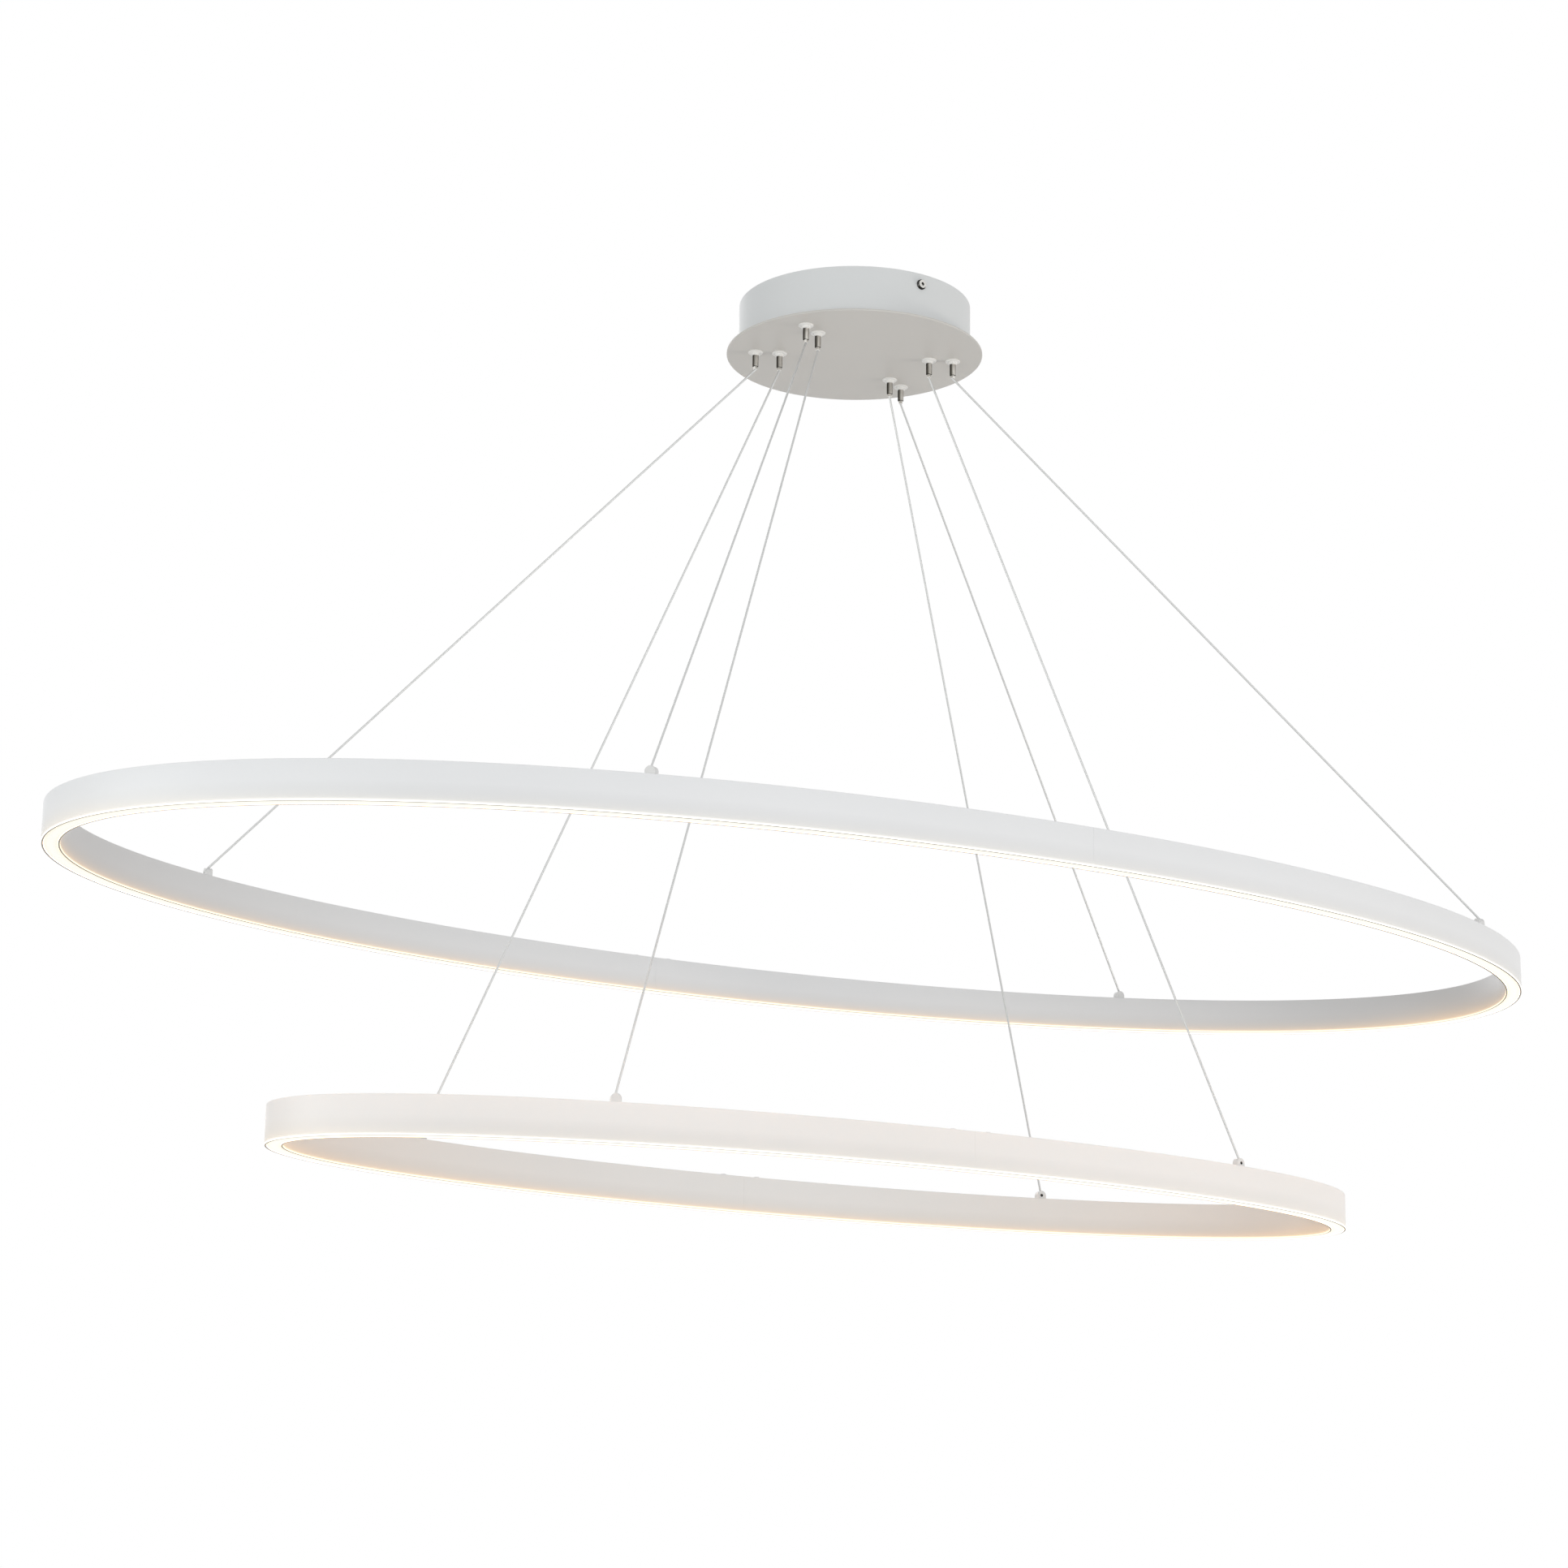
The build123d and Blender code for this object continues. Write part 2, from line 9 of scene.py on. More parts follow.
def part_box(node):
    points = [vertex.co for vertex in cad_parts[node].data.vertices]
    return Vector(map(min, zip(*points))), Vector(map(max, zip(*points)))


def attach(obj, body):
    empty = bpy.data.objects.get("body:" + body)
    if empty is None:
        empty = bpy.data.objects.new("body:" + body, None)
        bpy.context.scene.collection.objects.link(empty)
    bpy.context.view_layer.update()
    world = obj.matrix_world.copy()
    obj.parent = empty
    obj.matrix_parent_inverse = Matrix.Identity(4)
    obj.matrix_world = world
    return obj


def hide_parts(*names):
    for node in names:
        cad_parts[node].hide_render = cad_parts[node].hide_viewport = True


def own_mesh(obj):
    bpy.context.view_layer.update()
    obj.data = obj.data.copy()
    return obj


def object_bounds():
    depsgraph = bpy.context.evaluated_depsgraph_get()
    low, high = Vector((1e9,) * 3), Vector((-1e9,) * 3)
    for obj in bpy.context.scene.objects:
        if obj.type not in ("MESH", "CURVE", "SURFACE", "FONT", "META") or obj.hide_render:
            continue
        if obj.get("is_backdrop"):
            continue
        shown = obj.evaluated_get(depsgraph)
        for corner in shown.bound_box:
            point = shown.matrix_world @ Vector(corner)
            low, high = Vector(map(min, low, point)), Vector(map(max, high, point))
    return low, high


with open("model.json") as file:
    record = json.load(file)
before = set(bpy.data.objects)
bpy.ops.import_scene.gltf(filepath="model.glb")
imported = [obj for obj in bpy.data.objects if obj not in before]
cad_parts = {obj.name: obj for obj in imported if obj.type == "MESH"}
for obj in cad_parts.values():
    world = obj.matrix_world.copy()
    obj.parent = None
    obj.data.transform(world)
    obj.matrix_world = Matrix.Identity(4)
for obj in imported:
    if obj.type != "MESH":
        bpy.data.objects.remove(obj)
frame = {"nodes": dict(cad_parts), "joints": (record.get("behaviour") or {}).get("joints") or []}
cad_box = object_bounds()
nodes = frame["nodes"]

# ---- Camera -------------------------------------------------------------------------------------
# The photograph looks up at the hanging rings from the side of the canopy's side screw, with a long
# lens and the frame set a little to the left of the lens's axis. Angles are degrees, lengths metres.

view_turn = -34.01
view_rise = -13.665
view_roll = 0.341
view_distance = 3.2594
aim_height = -0.4565
lens_length, sensor_width = 82.74, 36  # millimetres
sight_limit = 100
frame_shift = -0.0433

turn, rise = math.radians(view_turn), math.radians(view_rise)
sight = Vector((math.sin(turn) * math.cos(rise), -math.cos(turn) * math.cos(rise), math.sin(rise)))
camera = bpy.data.objects.new("camera", bpy.data.cameras.new("camera"))
camera.location = Vector((0, 0, aim_height)) + sight * view_distance
camera.rotation_mode = "QUATERNION"
roll = Quaternion((0, 0, 1), math.radians(view_roll))
camera.rotation_quaternion = sight.to_track_quat("Z", "Y") @ roll
camera.data.sensor_width = sensor_width
camera.data.lens = lens_length
camera.data.shift_x = frame_shift
camera.data.clip_end = sight_limit
bpy.context.scene.collection.objects.link(camera)
bpy.context.scene.camera = camera
bpy.context.scene.view_settings.view_transform = "Standard"

# ---- Room and lamps -----------------------------------------------------------------------------
# A white surround, a plain pale floor one storey below the ceiling plane, and wide soft lamps. The
# white is only what the camera and reflections see: it adds no light of its own to the object. On the
# floor it grows outwards, so that the floor fades into the surround.

floor_level = -2.4
floor_reach = 14.0
floor_sides = 96
floor_colour = (0.90, 0.90, 0.90, 1)
floor_roughness = 0.8
near_lift, far_lift = 0.44, 0.62  # the floor's share of that white
clear_reach, fade_reach = 2.0, 9.0  # from the middle, where it starts and stops growing
ambient_colour = (0.97, 0.98, 1.0, 1)
ambient_strength = 0.42


def seen_directly(tree):
    """Is this the camera's ray, or its reflection or its way through glass?"""
    path = tree.nodes.new("ShaderNodeLightPath")
    total = path.outputs["Is Camera Ray"]
    for name in ("Is Glossy Ray", "Is Transmission Ray"):
        both = tree.nodes.new("ShaderNodeMath")
        both.operation = "MAXIMUM"
        tree.links.new(total, both.inputs[0])
        tree.links.new(path.outputs[name], both.inputs[1])
        total = both.outputs[0]
    return total


world = bpy.data.worlds.new("white surround")
world.use_nodes = True
bpy.context.scene.world = world
tree = world.node_tree
ambient = tree.nodes["Background"]
ambient.inputs["Color"].default_value = ambient_colour
ambient.inputs["Strength"].default_value = ambient_strength
white = tree.nodes.new("ShaderNodeBackground")
white.inputs["Color"].default_value = (1, 1, 1, 1)
white.inputs["Strength"].default_value = 1
choice = tree.nodes.new("ShaderNodeMixShader")
tree.links.new(seen_directly(tree), choice.inputs[0])
tree.links.new(ambient.outputs[0], choice.inputs[1])
tree.links.new(white.outputs[0], choice.inputs[2])
tree.links.new(choice.outputs[0], tree.nodes["World Output"].inputs["Surface"])

bpy.ops.mesh.primitive_circle_add(vertices=floor_sides, radius=floor_reach, fill_type="NGON")
floor = bpy.context.object
floor.name = "floor"
floor.location.z = floor_level
floor_paint = bpy.data.materials.new("pale floor")
floor_paint.use_nodes = True
tree = floor_paint.node_tree
matt = tree.nodes["Principled BSDF"]
matt.inputs["Base Color"].default_value = floor_colour
matt.inputs["Roughness"].default_value = floor_roughness
lift = tree.nodes.new("ShaderNodeEmission")
lift.inputs["Color"].default_value = (1, 1, 1, 1)
from_middle = tree.nodes.new("ShaderNodeVectorMath")
from_middle.operation = "LENGTH"
tree.links.new(tree.nodes.new("ShaderNodeTexCoord").outputs["Object"], from_middle.inputs[0])
fade_out = tree.nodes.new("ShaderNodeMapRange")
fade_out.inputs["From Min"].default_value = clear_reach
fade_out.inputs["From Max"].default_value = fade_reach
fade_out.inputs["To Min"].default_value = near_lift
fade_out.inputs["To Max"].default_value = far_lift
tree.links.new(from_middle.outputs["Value"], fade_out.inputs["Value"])
lift_strength = tree.nodes.new("ShaderNodeMath")
lift_strength.operation = "MULTIPLY"
tree.links.new(fade_out.outputs["Result"], lift_strength.inputs[1])
tree.links.new(seen_directly(tree), lift_strength.inputs[0])
tree.links.new(lift_strength.outputs[0], lift.inputs["Strength"])
together = tree.nodes.new("ShaderNodeAddShader")
tree.links.new(matt.outputs[0], together.inputs[0])
tree.links.new(lift.outputs[0], together.inputs[1])
tree.links.new(together.outputs[0], tree.nodes["Material Output"].inputs["Surface"])
floor.data.materials.append(floor_paint)
floor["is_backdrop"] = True


def soft_lamp(name, place, aim, size, watts, colour):
    """A square soft lamp at a place, turned to a point."""
    data = bpy.data.lights.new(name, "AREA")
    data.shape = "SQUARE"
    data.size = size
    data.energy = watts
    data.color = colour
    lamp = bpy.data.objects.new(name, data)
    lamp.location = place
    lamp.rotation_mode = "QUATERNION"
    lamp.rotation_quaternion = (Vector(place) - Vector(aim)).to_track_quat("Z", "Y")
    lamp.visible_camera = False
    bpy.context.scene.collection.objects.link(lamp)


cool_white, plain_white, warm_white = (0.975, 0.995, 0.99), (1.0, 1.0, 1.0), (1.0, 0.94, 0.86)
lamps = {  # place, aim, size, watts, colour
    "front lamp": ((-0.2, -1.6, -0.3), (0, -0.3, -0.6), 1.2, 6.0, plain_white),
    "front left lamp": ((-1.6, -1.2, -0.5), (-0.4, -0.1, -0.6), 1.2, 4.2, cool_white),
    "left lamp": ((-2.2, 0, -0.5), (-0.5, 0, -0.6), 1.2, 8.5, cool_white),
    "front right lamp": ((1.4, -1.2, -0.5), (0.4, -0.1, -0.6), 1.2, 2.8, plain_white),
    "low lamp": ((2.0, -1.3, -1.9), (0, 0, -0.1), 0.6, 12.5, warm_white),
    "back lamp": ((0.6, 2.6, 0.5), (0, 0, -0.55), 2.0, 12.0, plain_white),
}
for name, (place, aim, size, watts, colour) in lamps.items():
    soft_lamp(name, place, aim, size, watts, colour)

# ---- Canopy drum and plate ----------------------------------------------------------------------
# The drum is rolled from 1 mm steel sheet and welded by its lip to a slightly wider round plate. Both
# are powder coated in one white: the drum's soft cool white and the plate's warmer and duller one are
# painted shade. The coat leaves a very fine, even orange peel on the sheet.

# Painted shade: one white coat, the drum darkened a little and the downward-facing plate more.
drum_painted_shade_tones = ((0.81, 0.825, 0.82, 1), (0.76, 0.775, 0.77, 1))  # light and shade
plate_painted_shade_tones = ((0.70, 0.68, 0.64, 1), (0.65, 0.63, 0.59, 1))
coat_grain = 620.0  # grains to the metre
coat_gloss = (0.38, 0.50)  # least and greatest roughness
coat_depth = 0.00003
cloud_count = 9.0  # clouds to the metre
grain_share = 0.35  # of the tone: the rest is cloud
soft_detail, sharp_detail = 2.0, 3.0  # of the noise


def link_value(tree, value, socket):
    """Sets a socket to a plain value, or links it to another socket."""
    if isinstance(value, bpy.types.NodeSocket):
        tree.links.new(value, socket)
    else:
        socket.default_value = value


def calculate(tree, operation, *values):
    """One arithmetic node, in a geometry tree or a shader tree."""
    node = tree.nodes.new("ShaderNodeMath")
    node.operation = operation
    for socket, value in zip(node.inputs, values):
        link_value(tree, value, socket)
    return node.outputs[0]


def clamped(tree, value):
    """The value kept between 0 and 1."""
    return calculate(tree, "MINIMUM", calculate(tree, "MAXIMUM", value, 0.0), 1.0)


def mix_colour(tree, factor, first, second):
    """A colour between two."""
    mix = tree.nodes.new("ShaderNodeMix")
    mix.data_type = "RGBA"
    sockets = [socket for socket in mix.inputs if socket.type == "RGBA"]
    link_value(tree, factor, mix.inputs[0])
    link_value(tree, first, sockets[0])
    link_value(tree, second, sockets[1])
    return [socket for socket in mix.outputs if socket.type == "RGBA"][0]


def noise_at(tree, place, scale, detail=soft_detail):
    """Soft noise between 0 and 1 at a place, with so many spots to the metre."""
    noise = tree.nodes.new("ShaderNodeTexNoise")
    noise.inputs["Detail"].default_value = detail
    link_value(tree, scale, noise.inputs["Scale"])
    tree.links.new(place, noise.inputs["Vector"])
    return noise.outputs["Fac"]


def new_effect(name, inputs, outputs):
    """An empty shader group with the named inputs (name, kind, value) and outputs (name, kind)."""
    group = bpy.data.node_groups.new(name, "ShaderNodeTree")
    for label, kind, value in inputs:
        group.interface.new_socket(label, in_out="INPUT", socket_type=kind).default_value = value
    for label, kind in outputs:
        group.interface.new_socket(label, in_out="OUTPUT", socket_type=kind)
    return group, group.nodes.new("NodeGroupInput"), group.nodes.new("NodeGroupOutput")


FLOAT, COLOUR = "NodeSocketFloat", "NodeSocketColor"
finish_inputs = [
    ("Light", COLOUR, (1, 1, 1, 1)),
    ("Shade", COLOUR, (1, 1, 1, 1)),
    ("Grain", FLOAT, coat_grain),
    ("Smooth", FLOAT, 0.4),
    ("Rough", FLOAT, 0.5),
]
finish_outputs = [("Colour", COLOUR), ("Roughness", FLOAT), ("Height", FLOAT)]


def fine_grain_effect():
    """Coats and mouldings: an even fine grain, with faint clouds in its tone and in its gloss."""
    group, given, out = new_effect("fine grain", finish_inputs, finish_outputs)
    place = group.nodes.new("ShaderNodeTexCoord").outputs["Object"]
    grain = noise_at(group, place, given.outputs["Grain"], sharp_detail)
    cloud = noise_at(group, place, cloud_count)
    fine_part = calculate(group, "MULTIPLY", grain, grain_share)
    broad_part = calculate(group, "MULTIPLY", cloud, 1 - grain_share)
    tone = calculate(group, "ADD", fine_part, broad_part)
    colour = mix_colour(group, tone, given.outputs["Shade"], given.outputs["Light"])
    spread = calculate(group, "SUBTRACT", given.outputs["Rough"], given.outputs["Smooth"])
    rough = calculate(group, "ADD", given.outputs["Smooth"], calculate(group, "MULTIPLY", spread, cloud))
    group.links.new(colour, out.inputs["Colour"])
    group.links.new(rough, out.inputs["Roughness"])
    group.links.new(grain, out.inputs["Height"])
    return group


def new_material(name, roughness, metallic=0.0):
    """A material with its own shader node, whose constant values are set on the shader itself."""
    material = bpy.data.materials.new(name)
    material.use_nodes = True
    shader = material.node_tree.nodes["Principled BSDF"]
    shader.inputs["Roughness"].default_value = roughness
    shader.inputs["Metallic"].default_value = metallic
    return material, material.node_tree, shader


def add_bump(tree, shader, height, depth):
    """Bump of a real depth in metres, from a height between 0 and 1."""
    bump = tree.nodes.new("ShaderNodeBump")
    bump.inputs["Strength"].default_value = 1
    bump.inputs["Distance"].default_value = depth
    tree.links.new(height, bump.inputs["Height"])
    tree.links.new(bump.outputs["Normal"], shader.inputs["Normal"])


def place_effect(tree, effect, tones, grain, gloss):
    """A shared effect in a material, with its own light and shade, grain, and range of roughness."""
    node = tree.nodes.new("ShaderNodeGroup")
    node.node_tree = effect
    for (label, _, _), value in zip(finish_inputs, (*tones, grain, *gloss)):
        node.inputs[label].default_value = value
    return node


def finished(name, effect, tones, grain, gloss, depth, metallic=0.0, stretch=None):
    """A material that takes its colour, gloss and fine relief from one of the shared effects."""
    material, tree, shader = new_material(name, max(gloss), metallic)
    node = place_effect(tree, effect, tones, grain, gloss)
    if stretch:
        node.inputs["Stretch"].default_value = stretch
    tree.links.new(node.outputs["Colour"], shader.inputs["Base Color"])
    tree.links.new(node.outputs["Roughness"], shader.inputs["Roughness"])
    add_bump(tree, shader, node.outputs["Height"], depth)
    return material


def coated(name, tones, grain, gloss, depth):
    """A powder coat, or a moulding."""
    return finished(name, fine_grain, tones, grain, gloss, depth)


def paint(material, *names):
    """Gives a material to solids that are shown as they are."""
    for name in names:
        mesh = nodes[name].data
        if not mesh.materials:
            mesh.materials.append(material)
        for index in range(len(mesh.materials)):
            mesh.materials[index] = material


fine_grain = fine_grain_effect()
drum_coat = coated("drum coat with painted shade", drum_painted_shade_tones, coat_grain, coat_gloss, coat_depth)
plate_coat = coated("plate coat with painted shade", plate_painted_shade_tones, coat_grain, coat_gloss, coat_depth)
paint(drum_coat, "canopy_drum")
paint(plate_coat, "canopy_plate")

# ---- Ceiling bracket, nuts and screws -----------------------------------------------------------
# A strip of zinc-plated steel, punched and folded. The drum's two socket screws are bright nickel, the
# nuts and the earth screw are zinc plated, and all are cold formed with fine turning marks.

zinc_tones = ((0.66, 0.68, 0.70, 1), (0.47, 0.48, 0.47, 1))
screw_tones = ((0.80, 0.79, 0.76, 1), (0.52, 0.51, 0.48, 1))
# Painted shade for the screws' sockets and the sides of their heads, round a painted reflection.
screw_painted_shade = (0.05, 0.05, 0.048, 1)
line_depth = 0.000012
line_drawn = 24  # how many times as long as wide a line is
level_lines = (1 / line_drawn, 1 / line_drawn, 1)
upright_lines = (1, 1, 1 / line_drawn)
line_share = 0.5  # of the tone: the rest is blotches
line_contrast = 2.6
blotch_count = 160.0  # blotches to the metre


def worked_metal_effect():
    """Rolled, drawn or turned metal: fine lines one way, crossed by blotches in tone and gloss."""
    stretch_input = ("Stretch", "NodeSocketVector", level_lines)
    group, given, out = new_effect("worked metal", finish_inputs + [stretch_input], finish_outputs)
    place = group.nodes.new("ShaderNodeTexCoord").outputs["Object"]
    stretch = group.nodes.new("ShaderNodeMapping")
    group.links.new(given.outputs["Stretch"], stretch.inputs["Scale"])
    group.links.new(place, stretch.inputs["Vector"])
    lines = noise_at(group, stretch.outputs["Vector"], given.outputs["Grain"])
    blotch = noise_at(group, place, blotch_count, sharp_detail)
    line_part = calculate(group, "MULTIPLY", lines, line_share)
    blotch_part = calculate(group, "MULTIPLY", blotch, 1 - line_share)
    tone = calculate(group, "ADD", line_part, blotch_part)
    off_middle = calculate(group, "SUBTRACT", tone, 0.5)
    spread_out = calculate(group, "MULTIPLY", off_middle, line_contrast)
    sharp = clamped(group, calculate(group, "ADD", spread_out, 0.5))
    colour = mix_colour(group, sharp, given.outputs["Shade"], given.outputs["Light"])
    spread = calculate(group, "SUBTRACT", given.outputs["Rough"], given.outputs["Smooth"])
    rough = calculate(group, "ADD", given.outputs["Smooth"], calculate(group, "MULTIPLY", spread, blotch))
    group.links.new(colour, out.inputs["Colour"])
    group.links.new(rough, out.inputs["Roughness"])
    group.links.new(lines, out.inputs["Height"])
    return group


def bare_metal(name, tones, grain, gloss, stretch=None):
    """Plated or bare metal. Its fine lines are level, unless they are stretched another way."""
    return finished(name, worked_metal, tones, grain, gloss, line_depth, metallic=1.0, stretch=stretch)


worked_metal = worked_metal_effect()
zinc = bare_metal("zinc plate", zinc_tones, grain=2600.0, gloss=(0.30, 0.46))
paint(zinc, "ceiling_bracket", "earth_screw", "driver_nuts", "gripper_nuts")


def nickel_with_painted_sheen(name, tones, dark, grain, gloss, start, rise, stretch=None):
    """Nickel with a painted reflection where it looks along Y, and painted shade in its sockets and round
    its other sides. Start is the lean towards Y where it begins to brighten, and rise is how fast it does."""
    material = bare_metal(name, tones, grain, gloss, stretch)
    tree = material.node_tree
    shader = tree.nodes["Principled BSDF"]
    split = tree.nodes.new("ShaderNodeSeparateXYZ")
    tree.links.new(tree.nodes.new("ShaderNodeNewGeometry").outputs["Normal"], split.inputs[0])
    facing = calculate(tree, "ABSOLUTE", split.outputs[1])
    # A painted reflection where the surface looks along Y, painted shade elsewhere.
    painted_sheen = clamped(tree, calculate(tree, "MULTIPLY", calculate(tree, "SUBTRACT", facing, start), rise))
    plain = shader.inputs["Base Color"].links[0].from_socket
    tree.links.new(mix_colour(tree, painted_sheen, dark, plain), shader.inputs["Base Color"])
    shader.inputs["Specular Tint"].default_value = dark
    return material


bright_nickel = nickel_with_painted_sheen(
    "bright nickel", screw_tones, screw_painted_shade, grain=3400.0, gloss=(0.14, 0.26), start=0.45, rise=4.0
)
paint(bright_nickel, "side_screws")

# ---- Drivers and terminal block -----------------------------------------------------------------
# Two potted drivers in moulded white cases, one for each ring, on the plate's weld studs. Between them
# lies a three-pole terminal block of natural nylon, a little yellower and softer than the cases.

case_tones = ((0.82, 0.82, 0.81, 1), (0.74, 0.74, 0.73, 1))
nylon_tones = ((0.80, 0.79, 0.73, 1), (0.70, 0.68, 0.61, 1))
driver_case = coated("moulded driver case", case_tones, grain=1500.0, gloss=(0.32, 0.44), depth=0.00004)
nylon = coated("natural nylon", nylon_tones, grain=900.0, gloss=(0.42, 0.58), depth=0.00003)
paint(driver_case, "upper_driver", "lower_driver")
paint(nylon, "terminal_block")

# ---- Leads in the canopy ------------------------------------------------------------------------
# White sheathed mains leads run from the terminal block to the drivers. Thin black silicone leads run
# on from the drivers to the ends of the four cables that carry the current.

sheath_tones = ((0.80, 0.80, 0.79, 1), (0.70, 0.70, 0.69, 1))
silicone_tones = ((0.045, 0.045, 0.05, 1), (0.02, 0.02, 0.022, 1))
mains_sheath = coated("mains sheath", sheath_tones, grain=700.0, gloss=(0.40, 0.55), depth=0.00003)
silicone = coated("black silicone", silicone_tones, grain=1200.0, gloss=(0.48, 0.62), depth=0.00002)
paint(mains_sheath, "mains_leads")
paint(silicone, "feed_leads")

# ---- Cable grippers -----------------------------------------------------------------------------
# Each gripper is a turned brass body in satin nickel, screwed through a white flange into the plate. Its
# dark sides round a bright streak facing Y are painted shade and a painted reflection. The bright nose
# below it is the end of the release plunger, pushed up to let the cable slide.

sleeve_tones = ((0.74, 0.72, 0.68, 1), (0.50, 0.48, 0.44, 1))
# Painted shade round the sleeves' sides, either side of a painted bright streak facing Y.
sleeve_painted_shade = (0.085, 0.08, 0.07, 1)
nose_tones = ((0.86, 0.85, 0.82, 1), (0.62, 0.60, 0.56, 1))
flange_tones = ((0.94, 0.93, 0.90, 1), (0.90, 0.89, 0.86, 1))
satin_nickel = nickel_with_painted_sheen(
    "satin nickel",
    sleeve_tones,
    sleeve_painted_shade,
    grain=900.0,
    gloss=(0.26, 0.40),
    start=0.45,
    rise=2.0,
    stretch=upright_lines,
)
nose_nickel = bare_metal("bright plunger nose", nose_tones, grain=5200.0, gloss=(0.12, 0.24))
flange_coat = coated("flange coat", flange_tones, grain=1400.0, gloss=(0.30, 0.42), depth=0.00002)
paint(flange_coat, "gripper_flanges")
for ring in ("upper", "lower"):
    paint(satin_nickel, *[f"{ring}_gripper_{number}" for number in range(1, 5)])
    paint(nose_nickel, *[f"{ring}_plunger_{number}" for number in range(1, 5)])

# ---- Suspension cables --------------------------------------------------------------------------
# Eight fine steel ropes, 2 mm thick, each of laid strands under a clear sheath. Each one is clamped
# in its gripper and runs down and outwards to its anchor in a straight line, pulled tight by the ring.

cable_radius = 0.001
cable_sides = 16
cable_points = 33
cable_seat = 0.0015  # by which each end reaches into its seat
strands = 6
strand_lay = 0.011
strand_relief = 0.00005
# Painted shade in the grooves between the strands.
groove_painted_shade = 0.92  # of the steel's colour
groove_width = 0.4  # a power: the smaller, the narrower
cable_steel_colour = (0.66, 0.665, 0.655, 1)
cable_roughness, cable_metallic = 0.34, 0.30
sheath_weight, sheath_roughness = 0.6, 0.12


def new_geometry_tree(name, inputs):
    """An empty geometry tree with the named inputs, each (name, socket type, first value)."""
    tree = bpy.data.node_groups.new(name, "GeometryNodeTree")
    tree.interface.new_socket("Geometry", in_out="INPUT", socket_type="NodeSocketGeometry")
    for label, kind, value in inputs:
        socket = tree.interface.new_socket(label, in_out="INPUT", socket_type=kind)
        if value is not None:
            socket.default_value = value
    tree.interface.new_socket("Geometry", in_out="OUTPUT", socket_type="NodeSocketGeometry")
    return tree, tree.nodes.new("NodeGroupInput"), tree.nodes.new("NodeGroupOutput")


def close_geometry_tree(tree, geometry, material, out):
    """Real geometry in one material, as the tree's result."""
    real = tree.nodes.new("GeometryNodeRealizeInstances")
    paint = tree.nodes.new("GeometryNodeSetMaterial")
    tree.links.new(geometry, real.inputs["Geometry"])
    tree.links.new(real.outputs["Geometry"], paint.inputs["Geometry"])
    tree.links.new(material, paint.inputs["Material"])
    tree.links.new(paint.outputs["Geometry"], out.inputs["Geometry"])


def grow(name, tree, values, start=None):
    """Runs a geometry tree with its inputs set by name, and keeps the result as a plain mesh."""
    seed = bpy.data.objects.new(name, start or bpy.data.meshes.new(name))
    bpy.context.scene.collection.objects.link(seed)
    modifier = seed.modifiers.new("shape", "NODES")
    modifier.node_group = tree
    for item in tree.interface.items_tree:
        if item.item_type == "SOCKET" and item.in_out == "INPUT" and item.name in values:
            modifier[item.identifier] = values[item.name]
    evaluated = seed.evaluated_get(bpy.context.evaluated_depsgraph_get())
    mesh = bpy.data.meshes.new_from_object(evaluated)
    mesh.name = name
    seed.modifiers.remove(modifier)
    seed.data = mesh
    return seed


def keep_value(tree, geometry, name, value):
    """Stores a value on the points, under a name that the materials read."""
    keep = tree.nodes.new("GeometryNodeStoreNamedAttribute")
    keep.inputs["Name"].default_value = name
    tree.links.new(geometry, keep.inputs["Geometry"])
    tree.links.new(value, keep.inputs["Value"])
    return keep.outputs["Geometry"]


def cable_tree():
    """A straight tube between two points. It keeps the metres along it and the share of a turn round it."""
    tree, given, out = new_geometry_tree(
        "straight cable",
        [
            ("Start", "NodeSocketVector", None),
            ("End", "NodeSocketVector", None),
            ("Radius", "NodeSocketFloat", cable_radius),
            ("Sides", "NodeSocketInt", cable_sides),
            ("Material", "NodeSocketMaterial", None),
        ],
    )
    line = tree.nodes.new("GeometryNodeCurvePrimitiveLine")
    tree.links.new(given.outputs["Start"], line.inputs["Start"])
    tree.links.new(given.outputs["End"], line.inputs["End"])
    even = tree.nodes.new("GeometryNodeResampleCurve")
    even.inputs["Count"].default_value = cable_points
    tree.links.new(line.outputs["Curve"], even.inputs["Curve"])
    section = tree.nodes.new("GeometryNodeCurvePrimitiveCircle")
    tree.links.new(given.outputs["Radius"], section.inputs["Radius"])
    tree.links.new(given.outputs["Sides"], section.inputs["Resolution"])
    spline = tree.nodes.new("GeometryNodeSplineParameter")
    along = keep_value(tree, even.outputs["Curve"], "along", spline.outputs["Length"])
    round_it = keep_value(tree, section.outputs["Curve"], "round", spline.outputs["Factor"])
    tube = tree.nodes.new("GeometryNodeCurveToMesh")
    tube.inputs["Fill Caps"].default_value = True
    tree.links.new(along, tube.inputs["Curve"])
    tree.links.new(round_it, tube.inputs["Profile Curve"])
    smooth = tree.nodes.new("GeometryNodeSetShadeSmooth")
    tree.links.new(tube.outputs["Mesh"], smooth.inputs["Geometry"])
    close_geometry_tree(tree, smooth.outputs["Geometry"], given.outputs["Material"], out)
    return tree


def attribute_value(tree, name):
    """A value that the mesh carries."""
    reader = tree.nodes.new("ShaderNodeAttribute")
    reader.attribute_name = name
    return reader.outputs["Fac"]


